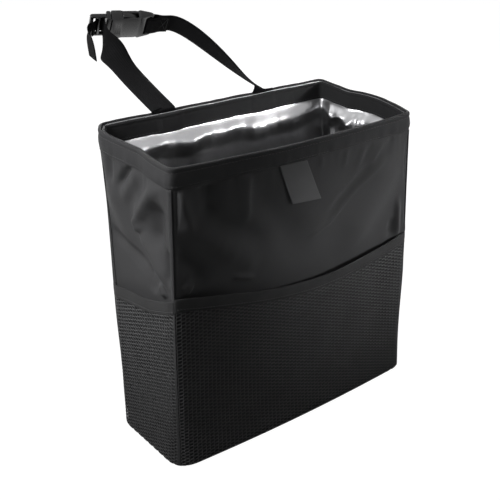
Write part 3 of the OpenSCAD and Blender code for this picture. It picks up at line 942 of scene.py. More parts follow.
@dataclass(frozen=True)
class MouldedPlastic(Finish):
    """Injection-moulded plastic with a fine spark texture."""

    grain: float = 2600.0

    def draw(self, surface: Surface) -> None:
        """Draws the texture and a slight cloudiness."""
        where = surface.position()
        cloud = surface.noise(where, 120.0)
        self.tint(surface, cloud, 0.88, 1.15)
        self.roughen(surface, cloud, 0.05, 0.06)
        surface.bump(surface.noise(where, self.grain), 0.03, 0.4)


@dataclass(frozen=True)
class Thread(Finish):
    """Twisted sewing thread."""

    def draw(self, surface: Surface) -> None:
        """Draws its fuzz."""
        fuzz = surface.noise(surface.position(), 3000.0, 1.0)
        self.tint(surface, fuzz, 0.7, 1.3)
        surface.bump(fuzz, 0.04, 0.4)


class Finishes:
    """The finishes of the bag, each built once."""

    def __init__(self) -> None:
        """Builds every finish."""
        self.cloth = CoatedCloth("coated_cloth", (0.036, 0.036, 0.037), 0.45, 0.03).build()
        self.hem = CoatedCloth("hem_cloth", (0.03, 0.03, 0.031), 0.5, 0.03, thread=0.7).build()
        self.tape = RibbedTape("ribbed_tape", (0.027, 0.027, 0.0275), 0.6, 0.03).build()
        self.seam_tape = RibbedTape("seam_tape", (0.034, 0.034, 0.035), 0.62, 0.03, rib=0.9).build()
        self.patch = CoatedCloth(
            "patch_cloth", (0.08, 0.08, 0.082), 0.62, 0.05, thread=0.5, weave_depth=0.03
        ).build()
        self.webbing = Webbing("webbing", (0.0085, 0.0085, 0.009), 0.72, 0.02).build()
        self.net = NetYarn("net_yarn", (0.06, 0.06, 0.061), 0.5, 0.03).build()
        self.foil = Foil("foil", (0.42, 0.42, 0.43), 0.36, 0.5).build()
        self.plastic = MouldedPlastic("buckle_plastic", (0.01, 0.01, 0.0105), 0.24, 0.3).build()
        self.thread = Thread("thread", (0.05, 0.05, 0.051), 0.55, 0.1).build()
        self.board = MouldedPlastic("board_sheet", (0.55, 0.54, 0.5), 0.6, 0.4, grain=900.0).build()


# Sub-assemblies


@dataclass
class StitchRun:
    """A row of stitches along a line."""

    pitch: float = 3.4
    length: float = 2.5
    radius: float = 0.26

    def master(self) -> Pair:
        """Models one stitch, which lies along X.

        Returns:
            Its points in mm and its faces, all with four corners.
        """
        ring = 6
        # places along the stitch and its thickness there, as shares; its ends dip into the cloth
        stations = [(-0.5, 0.35), (-0.36, 0.9), (0.0, 1.0), (0.36, 0.9), (0.5, 0.35)]
        points = [
            (x * self.length, r * math.cos(a) * self.radius, (r * math.sin(a) - x**2) * self.radius)
            for x, r in stations
            for a in (2 * math.pi * k / ring for k in range(ring))
        ]
        faces = [
            (i * ring + k, i * ring + (k + 1) % ring, (i + 1) * ring + (k + 1) % ring, (i + 1) * ring + k)
            for i in range(len(stations) - 1)
            for k in range(ring)
        ]
        caps = [(3, 2, 1, 0), (5, 4, 3, 0)]
        last = (len(stations) - 1) * ring
        caps += [(last, last + 1, last + 2, last + 3), (last, last + 3, last + 4, last + 5)]
        return np.array(points), np.array(faces + caps)

    def sew(self, name: str, lines: Sequence[Pair]) -> bpy.types.Object:
        """Copies the stitch along lines.

        Args:
            name: the piece's name.
            lines: pairs of points and outward directions, both as arrays, in mm.

        Returns:
            The row of stitches as one piece.
        """
        points, faces = self.master()
        all_points, all_faces = [], []
        for line, outward in lines:
            run = lengths_along(line)
            for k in range(int(run[-1] / self.pitch)):
                at = (k + 0.5) * self.pitch
                i = min(int(np.searchsorted(run, at)), len(run) - 1) - 1
                step = max(run[i + 1] - run[i], 1e-6)
                way = (line[i + 1] - line[i]) / step
                here = line[i] + (at - run[i]) * way
                up = outward[i] - (outward[i] @ way) * way
                up /= np.linalg.norm(up)
                side = np.cross(up, way)
                basis = np.stack([way, side, up])
                all_faces.append(faces + len(all_points) * len(points))
                all_points.append(points @ basis + here)
        stacked = np.concatenate(all_points)
        return raw_piece(name, stacked, np.concatenate(all_faces), stacked[:, :2])


@dataclass
class Walls:
    """The cloth walls, the base, the corner tapes and what stiffens them."""

    form: BagForm
    finishes: Finishes
    seam_width: float = 5.0
    seam_show: float = 1.3
    seam_thickness: float = 1.0
    turn_rows: int = 6
    board_edge: tuple[float, float] = (0.78, 0.92)
    front_board_top: float = 229.0
    strip_edge: float = 0.92

    def build(self) -> None:
        """Makes all the pieces."""
        self.cloth_wall("front_panel", Wall.FRONT, 190, 180)
        self.cloth_wall("back_panel", Wall.BACK, 90, 90)
        self.cloth_wall("left_gusset", Wall.LEFT, 96, 170)
        self.cloth_wall("right_gusset", Wall.RIGHT, 62, 136)
        self.base()
        self.corner_tape("front_right_seam", Wall.FRONT)
        self.corner_tape("back_right_seam", Wall.RIGHT)
        self.corner_tape("back_left_seam", Wall.BACK)
        self.corner_tape("front_left_seam", Wall.LEFT)
        self.boards()

    def pucker(self, wall: Wall, s: Array, z: Array) -> Array:
        """How far the gathers below the hem and the cloth's slow unevenness stand out, in mm."""
        half = self.form.half_length(wall, z, 0 * z)
        across, below = s * half, self.form.hem_foot - z
        places = np.stack([across, 0 * across + 40 * wall.value], -1)
        gathers = np.clip(noise_at(places, 9.0, 3.1) + 0.5 * noise_at(places, 4.5, 8.2) + 0.25, 0, None)
        gathers = gathers * np.exp(-np.clip(below, 0, None) / 13.0) * smooth(below / 2.0)
        uneven = noise_at(np.stack([across, z], -1), 34.0, 5.0 + wall.value) + 0.4
        uneven = 0.5 * uneven * smooth(below / 12.0)
        edge = smooth((1 - np.abs(s)) * half / self.form.fold_edge)
        if wall is Wall.FRONT:
            # the cloth lies flatter behind the patch
            edge = edge * (1 - 0.85 * np.exp(-(((across - 2) / 24) ** 4)) * ease(z, 205.0, 217.0))
        return (gathers + uneven) * edge * ease(z, 8.0, 28.0)

    def cloth_wall(self, node: str, wall: Wall, cols: int, rows: int) -> None:
        """Makes one cloth wall.

        Args:
            node: the node it stands for.
            wall: which wall it is.
            cols: columns of points.
            rows: rows of points.
        """
        form, turn = self.form, self.turn_rows
        low, bend, high = form.cloth + form.gap, form.base_round, form.height - form.cloth - form.gap

        def where(i: Array, j: Array) -> Pair:
            """Places the points, closer together at the corners and where the foot turns under."""
            s = np.sin((i / (cols - 1) - 0.5) * math.pi * 0.8) / math.sin(math.pi * 0.4)
            turned = low + (bend - low) * (j / turn) ** 1.6
            z = np.where(j < turn, turned, bend + (high - bend) * (j - turn) / (rows - 1 - turn))
            p = form.place(wall, s, z, 0 * z) + self.pucker(wall, s, z)[:, None] * wall.outward
            return p, np.stack([s * form.half_length(wall, z, 0 * z), z], -1)

        obj = grid_piece(node + "_cloth", cols, rows, where)
        thicken(obj, form.cloth, use_even_offset=True)
        hand_in(obj, Body.BAG, self.finishes.cloth, node)

    def base(self) -> None:
        """Makes the cloth base, with its rounded edge turned up to meet the walls."""
        form = self.form
        rows, cols = 26, 60
        z = form.cloth + form.gap

        def where(i: Array, j: Array) -> Pair:
            """Places the points on rings about the middle, the outermost of which follows the walls."""
            u, v = 2 * i / (cols - 1) - 1, 2 * j / (rows - 1) - 1
            reach = np.maximum(np.maximum(np.abs(u), np.abs(v)), 1e-6)
            endways = np.abs(v) >= np.abs(u)
            edge = np.zeros((len(u), 3))
            for wall, share, picked in (
                (Wall.FRONT, -u / reach, endways & (v < 0)),
                (Wall.BACK, u / reach, endways & (v >= 0)),
                (Wall.RIGHT, v / reach, ~endways & (u < 0)),
                (Wall.LEFT, -v / reach, ~endways & (u >= 0)),
            ):
                edge[picked] = form.place(wall, share[picked], z, 0.0, folded=False)
            middle = form.sway(np.zeros((1, 3)))
            p = middle + reach[:, None] * (edge - middle)
            p[:, 2] = 0.25 * (1 - u**2) * (1 - v**2) * (1 + noise_at(p[:, :2], 45.0, 2.0))
            return p, np.stack([-u * form.width / 2, v * form.base_depth / 2], -1)

        obj = grid_piece("bottom_panel_cloth", cols, rows, where)
        thicken(obj, 0.75 * form.cloth)
        hand_in(obj, Body.BAG, self.finishes.cloth, "bottom_panel")

    def corner_tape(self, node: str, wall: Wall) -> None:
        """Makes the tape that is folded over one corner seam.

        Args:
            node: the node it stands for.
            wall: the wall on the tape's left, seen from outside.
        """
        form, after = self.form, wall.beside(1)
        cols, rows = 17, 150
        low, high = form.cloth + form.gap, form.hem_foot - form.gap
        mid = (cols - 1) // 2
        # the tape lies mostly on the side wall, and only its fold shows on the front or back
        first, second = self.seam_width, self.seam_show
        if wall.is_long:
            first, second = second, first

        def where(i: Array, j: Array) -> Pair:
            """Places the points, on one wall up to the corner and on the next one beyond it."""
            z = low + (high - low) * (j / (rows - 1))
            k = (i - mid) / mid
            wander = 0.35 * noise_along(z, 16.0, 33.0 + wall.value)
            d = -form.gap - self.seam_thickness * (1.0 - 0.45 * k**4) - 0.25 * wander
            across = k * np.where(k < 0, first, second) + wander * np.abs(k)
            a = form.place(wall, 1 - np.clip(-across, 0, None) / form.half_length(wall, z, d), z, d)
            b = form.place(after, -1 + np.clip(across, 0, None) / form.half_length(after, z, d), z, d)
            return np.where((across <= 0)[:, None], a, b), np.stack([z, across], -1)

        obj = grid_piece(node + "_tape", cols, rows, where)
        thicken(obj, 0.5)
        hand_in(obj, Body.BAG, self.finishes.seam_tape, node)

    def boards(self) -> None:
        """Makes the hidden boards and the strips in the hem, and gives the base's board its finish."""
        form = self.form
        board, strip = (form.board_in, form.board), (form.strip_in, form.strip)
        hem = (form.hem_foot + 2, form.height - 3.5)
        front_edge, back_edge = self.board_edge
        front, back = (form.base_round, self.front_board_top), (form.base_round, form.hem_foot - 3)
        self.stiffener("front_board", Wall.FRONT, front_edge, front, board, (121, 96))
        self.stiffener("back_board", Wall.BACK, back_edge, back, board, (41, 32))
        self.stiffener("front_rim_strip", Wall.FRONT, self.strip_edge, hem, strip, (61, 5))
        self.stiffener("back_rim_strip", Wall.BACK, self.strip_edge, hem, strip, (61, 5))
        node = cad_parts["base_board"]
        node.data.materials.clear()
        node.data.materials.append(self.finishes.board)

    def stiffener(
        self,
        node: str,
        wall: Wall,
        edge: float,
        heights: tuple[float, float],
        ply: tuple[float, float],
        count: tuple[int, int],
    ) -> None:
        """Makes one hidden sheet.

        Args:
            node: the node it stands for.
            wall: the wall it lies in.
            edge: how far it reaches across the wall, as a share.
            heights: its lower and upper edge, in mm.
            ply: its depth and thickness, in mm.
            count: columns and rows of points.
        """
        (low, high), (depth, thickness), (cols, rows) = heights, ply, count

        def where(i: Array, j: Array) -> Pair:
            """Places the sheet's points."""
            s = edge * (2 * i / (cols - 1) - 1)
            z = low + (high - low) * j / (rows - 1)
            half = self.form.half_length(wall, z, 0 * z)
            return self.form.place(wall, s, z, depth + 0.35), np.stack([s * half, z], -1)

        obj = grid_piece(node + "_sheet", cols, rows, where)
        thicken(obj, 0.6 * thickness)
        hand_in(obj, Body.BAG, self.finishes.board, node)


@dataclass
class Mouth:
    """The hem, the facing and the foil lining."""

    form: BagForm
    finishes: Finishes
    ring_cols: int = 300
    lining_cols: int = 400
    lining_depth: float = 360.0
    strap_places: tuple[float, float] = (-61.1, 53.0)

    def ring(self, count: int) -> tuple[list[tuple[Wall, float]], Array]:
        """Spreads places round the bag, with more at its corners.

        Args:
            count: about how many places.

        Returns:
            The places as wall and share across it, and the length round the bag up to each, in mm.
        """
        form = self.form
        around = 2 * (form.width + form.mouth_depth)
        places: list[tuple[Wall, float]] = []
        run: list[float] = []
        start = 0.0
        near = [0.0, 0.35, 0.7, 1.0]
        for wall in Wall:
            length = form.width if wall.is_long else form.mouth_depth
            n = max(8, int(count * length / around))
            soft = form.rim_corner / (length / 2)
            shares = [-1 + soft * k for k in near] + list(np.linspace(-1 + soft, 1 - soft, n)[1:-1])
            shares += [1 - soft * k for k in reversed(near)][:-1]
            for s in shares:
                places.append((wall, s))
                run.append(start + (s + 1) / 2 * length)
            start += length
        places.append(places[0])
        run.append(start)
        return places, np.array(run)

    def band(self, name: str, count: int, rows: int, profile: BandRule) -> bpy.types.Object:
        """Makes a band that runs all round the bag.

        Args:
            name: the piece's name.
            count: about how many columns.
            rows: rows of points.
            profile: says where its rows lie.

        Returns:
            The band, closed round the bag.
        """
        places, run = self.ring(count)
        walls = np.array([w.value for w, _ in places])
        shares = np.array([s for _, s in places])

        def where(i: Array, j: Array) -> Pair:
            """Places the band's points."""
            p = np.zeros((len(i), 3))
            height = np.zeros(len(i))
            for wall in Wall:
                m = walls[i] == wall.value
                z, d, h = profile(wall, shares[i[m]], run[i[m]] * (i[m] < len(places) - 1), j[m])
                p[m] = self.form.place(wall, shares[i[m]], z, d)
                height[m] = h
            return p, np.stack([run[i], height], -1)

        obj = grid_piece(name, len(places), rows, where)
        edit_all(obj, lambda: bpy.ops.mesh.remove_doubles(threshold=0.00001))
        return obj

    def build(self) -> None:
        """Makes all the pieces."""
        self.hem()
        self.facing()
        self.lining()

    def hem(self) -> None:
        """Makes the hem: a band round the outside that turns over at the rim."""
        form = self.form
        foot, top = form.hem_foot, form.height
        seam_low, seam_high = foot + 2.0, top - 4.6
        path = np.array([
            (foot, -0.1), (foot + 0.3, -0.42), (foot + 1.2, -0.52), (seam_low, -0.4), (foot + 3.2, -0.6),
            (foot + 5.5, -0.75), (foot + 8, -0.85), (top - 6.6, -0.8), (top - 5.4, -0.62), (seam_high, -0.5),
            (top - 3.8, -0.62), (top - 2.8, -0.85), (top - 1.6, -0.9), (top - 0.7, -0.65), (top - 0.2, -0.2),
            (top, 0.35), (top - 0.25, 0.9), (top - 0.9, 1.4), (top - 2.0, 1.7),
        ])
        (zs, ds), length = path.T, lengths_along(path)

        def profile(wall: Wall, s: Array, run: Array, j: Array) -> tuple[Array, ...]:
            """The hem's outer face, gathered a little by its stitching."""
            z = zs[j]
            beat = noise_along(run, 8.5, 1.0) + 0.6 * noise_along(run, 4.2, 4.0)
            slow = noise_at(np.stack([run, 3.0 * z], -1), 26.0, 6.0)
            mid = np.exp(-(((z - foot - 6.0) / 5.5) ** 2))
            out = mid * (0.75 * np.clip(beat + 0.2, 0, None) + 0.55 * (slow + 0.4))
            drop = 0.8 * noise_along(run, 14.0, 9.0) * np.clip(1 - (z - foot) / 8, 0, 1)
            rise = 0.35 * noise_along(run, 11.0, 15.0) * np.clip(1 - (top - z) / 4, 0, 1)
            return z + drop + rise, ds[j] - out, length[j]

        obj = self.band("rim_hem_cloth", self.ring_cols, len(path), profile)
        thicken(obj, 0.4)
        hand_in(obj, Body.BAG, self.finishes.hem, "rim_hem")
        lines = [self.sewn_line(seam_low, -0.5), self.sewn_line(seam_high, -0.6)]
        rows = StitchRun().sew("hem_stitches", lines)
        hand_in(rows, Body.BAG, self.finishes.thread)

    def sewn_line(self, z: float, d: float) -> Pair:
        """A line round the bag for stitches.

        Args:
            z: its height, in mm.
            d: its depth below the outer face, in mm.

        Returns:
            Its points and the directions that the stitches face.
        """
        places, _ = self.ring(self.ring_cols)
        line, outward = [], []
        for wall in Wall:
            s = np.array([b for w, b in places[:-1] if w is wall])
            line.append(self.form.place(wall, s, z, d))
            outward.append(self.form.place(wall, s, z, d - 1.0) - line[-1])
        points = np.concatenate(line)
        return np.concatenate([points, points[:1]]), np.concatenate([*outward, outward[0][:1]])

    def facing(self) -> None:
        """Makes the facing: a band round the inside that turns over at the rim."""
        form = self.form
        foot, top = form.height - form.facing, form.height
        inner = form.facing_in + form.cloth
        path = np.array([
            (top - 2.4, 1.5), (top - 1.5, 1.9), (top - 1.2, 2.5), (top - 1.5, inner - 1.0),
            (top - 2.2, inner - 0.3), (top - 3.4, inner + 0.05), (top - 4.2, inner),
            (top - 4.8, inner - 0.25), (top - 5.6, inner), (top - 7, inner + 0.1), (foot + 8, inner + 0.1),
            (foot + 4, inner + 0.1), (foot + 1.2, inner + 0.05), (foot + 0.3, inner - 0.05),
            (foot, inner - 0.4),
        ])
        (zs, ds), length = path.T, lengths_along(path)

        def profile(wall: Wall, s: Array, run: Array, j: Array) -> tuple[Array, ...]:
            """The facing's face, gathered a little by its stitching."""
            z = zs[j]
            beat = noise_along(run, 8.0, 12.0) + 0.6 * noise_along(run, 3.6, 14.0)
            mid = np.exp(-(((z - foot - 6.0) / 5.0) ** 2))
            drop = 0.6 * noise_along(run, 14.0, 19.0) * np.clip(1 - (z - foot) / 8, 0, 1)
            bulge = 0 * s
            if wall is Wall.BACK:
                # it bulges over the strap ends
                for x in self.strap_places:
                    bulge = bulge + ease(np.abs(-s * form.width / 2 - x), 14.5, 12.5)
            inwards = 0.35 * mid * np.clip(beat + 0.3, 0, None) + 0.9 * bulge * smooth((top - z) / 3.0)
            return z + drop, ds[j] + inwards, length[j]

        obj = self.band("rim_facing_cloth", self.ring_cols, len(path), profile)
        thicken(obj, 0.5)
        hand_in(obj, Body.BAG, self.finishes.hem, "rim_facing")
        places, outward = self.sewn_line(foot + 2.0, inner + 0.3)
        rows = StitchRun().sew("facing_stitches", [(places, -outward)])
        hand_in(rows, Body.BAG, self.finishes.thread)

    def lining(self) -> None:
        """Makes the foil bag, with its puffed top edge, pleats and creases."""
        form = self.form
        top, foot = form.height - 1.0, form.height - form.facing
        floor = form.cloth + form.board + 2 * form.gap + form.lining
        upper = list(np.linspace(top, foot, 5)[:-1]) + list(np.linspace(foot, 170.0, 60)[:-1])
        lower = list(np.linspace(170.0, floor + 2.0, 24)) + [floor + 0.6]
        heights = np.array(upper + lower + [floor] * 7)
        insets = np.array([0.0] * (len(upper) + len(lower)) + [1.5, 8.0, 16.0, 24.0, 31.0, 36.0, 38.0])
        inner = form.lining_in + form.lining
        rows = len(heights)

        def profile(wall: Wall, s: Array, run: Array, j: Array) -> tuple[Array, ...]:
            """The foil's inner face."""
            z = heights[j]
            below = np.clip(foot - z, 0, None)
            places = np.stack([run, z], -1)
            # the film puffs out below the facing and falls back
            beat = noise_at(places * (1.0, 0.1), 24.0, 21.0)
            fine = noise_at(places * (1.0, 0.15), 8.0, 25.0)
            reach = 11.0 + 6.0 * noise_along(run, 32.0, 31.0)
            puff = (4.0 + 2.8 * beat + 1.7 * fine) * smooth(below / reach)
            puff *= 1.0 - 0.9 * smooth((below - reach) / 16.0)
            # and it is creased, mostly at the two short sides
            crushed = 1.0 if wall is Wall.RIGHT else 0.6 if wall is Wall.LEFT else 0.0
            broad = 1.6 * noise_at(places, 48.0, 37.0) + 0.5 * noise_at(places, 19.0, 39.0)
            ridge = 1.0 - 2.2 * np.abs(noise_at(places, 30.0, 41.0))
            cross = 1.0 - 2.4 * np.abs(noise_at(places @ np.array([[0.8, 0.6], [-0.6, 0.8]]), 14.0, 47.0))
            crease = (0.35 + 3.2 * crushed) * ridge + (0.12 + 1.7 * crushed) * cross + broad
            crease = np.clip(crease + 1.2, 0, None) * smooth(below / 9.0)
            on_wall = (insets[j] == 0) * smooth((z - floor) / 20.0)
            edge = 0.35 + 0.65 * smooth((1 - np.abs(s)) * 60 / 14.0)
            return z, inner + insets[j] + (puff + crease) * on_wall * edge, 500.0 - z + insets[j]

        obj = self.band("foil_lining_film", self.lining_cols, rows, profile)
        self.close_floor(obj, floor)
        edit_all(
            obj,
            lambda: bpy.ops.mesh.remove_doubles(threshold=0.00002),
            lambda: bpy.ops.mesh.flip_normals(),
        )
        hand_in(obj, Body.BAG, self.finishes.foil, "foil_lining")

    def close_floor(self, obj: bpy.types.Object, floor: float) -> None:
        """Draws the innermost row of the lining's floor together on its centre line.

        Args:
            obj: the lining.
            floor: height of its floor, in mm.
        """
        for v in obj.data.vertices:
            if v.co.z < (floor + 1.0) * MM and abs(v.co.y) < 3.6 * MM and abs(v.co.x) < 92.0 * MM:
                v.co.y = 0.0


@dataclass
class Pocket:
    """A net pocket with tape over its top edge."""

    wall: Wall
    finishes: Finishes
    form: BagForm
    # the net's cell, half its height, and the gap as a share of both
    column: float = 4.15
    row: float = 1.7
    hole: tuple[float, float] = (0.86, 0.62)
    yarn: float = 0.42
    foot: float = 2.0
    net_height: float = 168.0
    net_out: float = 0.7
    seat_out: float = 0.45
    tape_height: float = 12.0
    tape_thickness: float = 1.3
    stitch_drop: float = 9.4
    front_top: tuple[tuple[float, float], ...] = (
        (-131.0, 168.0), (-103.5, 162.5), (-77.7, 156.8), (-41.0, 149.0), (-8.4, 144.4), (21.4, 142.2),
        (45.0, 143.2), (76.0, 147.2), (106.7, 152.6), (131.0, 158.0),
    )
    side_top: tuple[tuple[float, float], ...] = (
        (-45.0, 166.5), (-37.4, 163.5), (-24.4, 158.1), (-9.4, 152.6), (22.3, 146.0), (60.0, 139.5),
    )

    @property
    def name(self) -> str:
        """The pocket's name in the part."""
        return {Wall.FRONT: "front", Wall.LEFT: "left", Wall.RIGHT: "right"}[self.wall]

    def top(self, a: Array) -> Array:
        """Height of the pocket's top edge at a place across it, in mm."""
        table = self.front_top if self.wall is Wall.FRONT else self.side_top
        return soft_lookup(np.clip(a, table[0][0], table[-1][0]), table)

    def span(self, z: Array) -> Pair:
        """The places across where the pocket starts and ends at a height, in mm."""
        if self.wall is Wall.FRONT:
            half = self.form.width / 2 - 0.3 + 0 * z
            return -half, half
        return -self.form.base_depth / 2 + 0.3 + 0 * z, self.form.back_y(z) - 0.3

    def stand(self, a: Array, z: Array, out: Array) -> Array:
        """Stands flat places against the wall.

        Args:
            a: places across, in mm.
            z: heights, in mm.
            out: how far they stand off the plane of the wall's corners, in mm.

        Returns:
            Points, in mm.
        """
        form, wall = self.form, self.wall
        a, z, out = same_shape(a, z, out)
        half = form.half_length(wall, z, 0 * z) + form.turn_in(z)
        way = -1.0 if wall is Wall.LEFT else 1.0
        s = np.clip(way * (a - (0.0 if wall.is_long else form.mid_y(z))) / half, -1.0, 1.0)
        if wall is Wall.FRONT:
            flat = form.sway(np.stack([a, -form.base_depth / 2 - out, z], -1))
        else:
            flat = form.sway(np.stack([way * (form.width / 2 + out), a, z], -1))
        # at the corners and at the foot it follows the wall instead
        reach = 8.0 + 16.0 * form.at_left_front(wall, s, z)
        share = np.maximum(smooth(1.0 - (1.0 - np.abs(s)) * half / reach), ease(z, 10.0, 2.0))[:, None]
        return flat * (1.0 - share) + form.place(wall, s, z, -out, folded=False) * share

    def slack(self, a: Array, z: Array) -> Array:
        """How far the slack net stands off its plane, in mm."""
        low, high = self.span(z)
        u = np.clip((a - low) / (high - low), 0, 1)
        v = np.clip((z - self.foot) / (self.top(a) - self.foot), 0, 1)
        room = 4 * u * (1 - u) * np.sin(np.pi * v * 0.92) * (1.0 if self.wall is Wall.FRONT else 0.8)
        wide = noise_at(np.stack([a, z], -1), 60.0, 70.0 + self.wall.value)
        return room * (-0.6 + 1.1 * wide)

    def build(self) -> None:
        """Makes the net and its tape."""
        self.tape()
        self.net()

    def ring(self, cx: Array, cz: Array, share: tuple[float, float], soft: float) -> Array:
        """A ring of twelve points about each gap's middle.

        Args:
            cx: middles across, in mm.
            cz: heights of the middles, in mm.
            share: width and height of the ring, as shares of the cell.
            soft: how far its corners are drawn in, as share of the cell.

        Returns:
            The places, in mm, as cells by points by two.
        """
        w, h = self.column, self.row
        x0 = w / 2 - h * h / (2 * w)
        corners = np.array([(w - x0, 0), (x0, h), (-x0, h), (x0 - w, 0), (-x0, -h), (x0, -h)])
        pulled = corners * (1 - soft * np.array([1.0, 0.35, 0.35, 1.0, 0.35, 0.35])[:, None])
        mids = (corners + np.roll(corners, -1, axis=0)) / 2
        points = np.stack([pulled, mids], 1).reshape(-1, 2) * np.array(share)
        return np.stack([cx[:, None] + points[:, 0], cz[:, None] + points[:, 1]], -1)

    def net(self) -> None:
        """Makes the net: six-sided gaps between strands with a round face.

        Each gap has three rings of points: its edge, the strand's shoulder and the strand's crown.
        Neighbouring gaps share the crowns' points, which are there twice, in front and behind.
        """
        low, high = self.span(np.array(160.0))
        cols = int((high - low) / self.column) + 3
        rows = int((self.net_height + 4.0) / (2 * self.row)) + 2
        ci, cj = (a.ravel() for a in np.meshgrid(np.arange(cols), np.arange(rows)))
        cx = float(low) - self.column + ci * self.column
        cz = self.foot - self.row + (2 * cj + ci % 2) * self.row
        wide, tall = self.hole
        shares = (((wide, tall), 0.14), (((1 + wide) / 2, (1 + tall) / 2), 0.07), ((1.0, 1.0), 0.0))
        edge, shoulder, crown = (self.ring(cx, cz, share, soft).reshape(-1, 2) for share, soft in shares)
        keys = np.rint(crown * 40).astype(int)
        _, first, ids = np.unique(keys, axis=0, return_index=True, return_inverse=True)
        total, joins = len(edge), crown[first]
        at_crown = 2 * total + ids.reshape(-1)
        per_ring = total // len(cx)
        cells = np.arange(len(cx)) * per_ring
        front, back = [], []
        for k in range(per_ring):
            a, b = cells + k, cells + (k + 1) % per_ring
            front.append(np.stack([a, b, total + b, total + a], -1))
            front.append(np.stack([total + a, total + b, at_crown[b], at_crown[a]], -1))
            back.append(np.stack([b, a, at_crown[a], at_crown[b]], -1))
        front, back = np.concatenate(front), np.concatenate(back)
        # strands that lie wholly outside the pocket go, and the others are cut off at its outline
        a, z = np.concatenate([edge, shoulder, joins]).T
        lo, hi = self.span(z)
        top = self.top(np.clip(a, lo, hi)) - 3.0
        inside = (a > lo) & (a < hi) & (z > self.foot) & (z < top)
        front, back = front[inside[front].any(axis=1)], back[inside[back].any(axis=1)]
        a, z = np.clip(a, lo, hi), np.clip(z, self.foot, top)
        lo, hi = self.span(z)
        free = smooth((z - self.foot) / 8.0) * smooth((a - lo) / 6.0) * smooth((hi - a) / 6.0)
        off = self.seat_out + (self.net_out - self.seat_out + self.slack(a, z)) * free
        thick = np.repeat([0.0, 0.8, 1.0], [total, total, len(joins)]) * self.yarn
        rear = self.stand(a, z, off - thick)
        points = np.concatenate([self.stand(a, z, off + thick), rear[2 * total:]])
        twin = np.arange(len(a))
        twin[2 * total:] += len(joins)
        quads = np.concatenate([front, twin[back]])
        if self.wall is Wall.LEFT:
            quads = quads[:, ::-1]
        places = np.stack([a, z], -1)
        places = np.concatenate([places, places[2 * total:]])
        used, numbers = np.unique(quads, return_inverse=True)
        obj = raw_piece(f"{self.name}_pocket_mesh", points[used], numbers.reshape(quads.shape), places[used])
        edit_all(
            obj,
            lambda: bpy.ops.mesh.remove_doubles(threshold=0.000002),
            lambda: bpy.ops.mesh.dissolve_degenerate(threshold=0.000002),
        )
        hand_in(obj, Body.BAG, self.finishes.net, f"{self.name}_pocket_net")

    def tape(self) -> None:
        """Makes the tape folded over the net's top edge, with its stitches."""
        low = -self.tape_height
        # the fold's section: drops below the top edge in mm, and places from its rear to its front as shares
        path = np.array([
            (low, 0.75), (low + 0.4, 0.95), (low + 1.4, 1.0), (-self.stitch_drop, 0.82), (low + 4.0, 1.0),
            (-6.0, 1.08), (-3.0, 1.08), (-1.2, 1.0), (-0.35, 0.6), (0.0, 0.0), (-0.35, -0.6), (-1.2, -0.95),
            (-3.0, -1.0), (low + 2.0, -1.0), (low, -0.9),
        ]) * (1.0, self.tape_thickness / 2 / 1.05)
        (drop, off), length = path.T, lengths_along(path)
        cols = 121 if self.wall is Wall.FRONT else 61

        def where(i: Array, j: Array) -> Pair:
            """Places the tape's points."""
            t = i / (cols - 1)
            lo, hi = self.span(150.0 + 0 * t)
            a = lo + (hi - lo) * t
            if self.wall is Wall.LEFT:
                a = lo + hi - a
            z = self.top(a) + drop[j]
            sag = 0.5 * noise_along(a, 30.0, 80.0 + self.wall.value) * 4 * t * (1 - t)
            ripple = 0.12 * noise_at(np.stack([a, z], -1), 6.0, 90.0)
            return self.stand(a, z, self.net_out + off[j] + sag + ripple), np.stack([a, length[j]], -1)

        obj = grid_piece(f"{self.name}_pocket_binding_tape", cols, len(path), where)
        thicken(obj, 0.35)
        hand_in(obj, Body.BAG, self.finishes.tape, f"{self.name}_pocket_binding")
        t = np.linspace(0.01, 0.99, 120)
        lo, hi = self.span(150.0 + 0 * t)
        a = lo + (hi - lo) * t
        z = self.top(a) - self.stitch_drop
        line = self.stand(a, z, self.net_out + 0.9)
        outward = self.stand(a, z, self.net_out + 1.9) - line
        rows = StitchRun(pitch=3.0, length=2.2).sew(f"{self.name}_pocket_stitches", [(line, outward)])
        hand_in(rows, Body.BAG, self.finishes.thread)


@dataclass
class Patch:
    """The bare patch below the front hem, a little askew, with its upper edge under the hem."""

    form: BagForm
    finishes: Finishes
    corners: tuple[tuple[float, float], ...] = ((-22.7, 262.0), (7.0, 261.0), (25.2, 218.9), (-5.5, 220.4))
    thickness: float = 0.8
    stand_off: float = 1.05

    def build(self) -> None:
        """Makes the patch."""
        form = self.form
        cols, rows = 25, 31
        a, b, c, d = (np.array(p) for p in self.corners)

        def where(i: Array, j: Array) -> Pair:
            """Places the patch's points."""
            u, v = (i / (cols - 1))[:, None], (j / (rows - 1))[:, None]
            flat = (1 - v) * ((1 - u) * d + u * c) + v * ((1 - u) * a + u * b)
            x, z = flat[:, 0], flat[:, 1]
            curl = 0.4 * (2 * u[:, 0] - 1) ** 2 + 0.9 * (1 - v[:, 0]) ** 2
            points = form.place(Wall.FRONT, x / (form.width / 2), z, -self.stand_off - curl)
            return points, np.stack([x, z], -1)

        obj = grid_piece("front_patch_cloth", cols, rows, where)
        thicken(obj, self.thickness)
        bake_modifier(obj, "BEVEL", width=0.25 * MM, segments=2, limit_method="ANGLE")
        hand_in(obj, Body.BAG, self.finishes.patch, "front_patch")


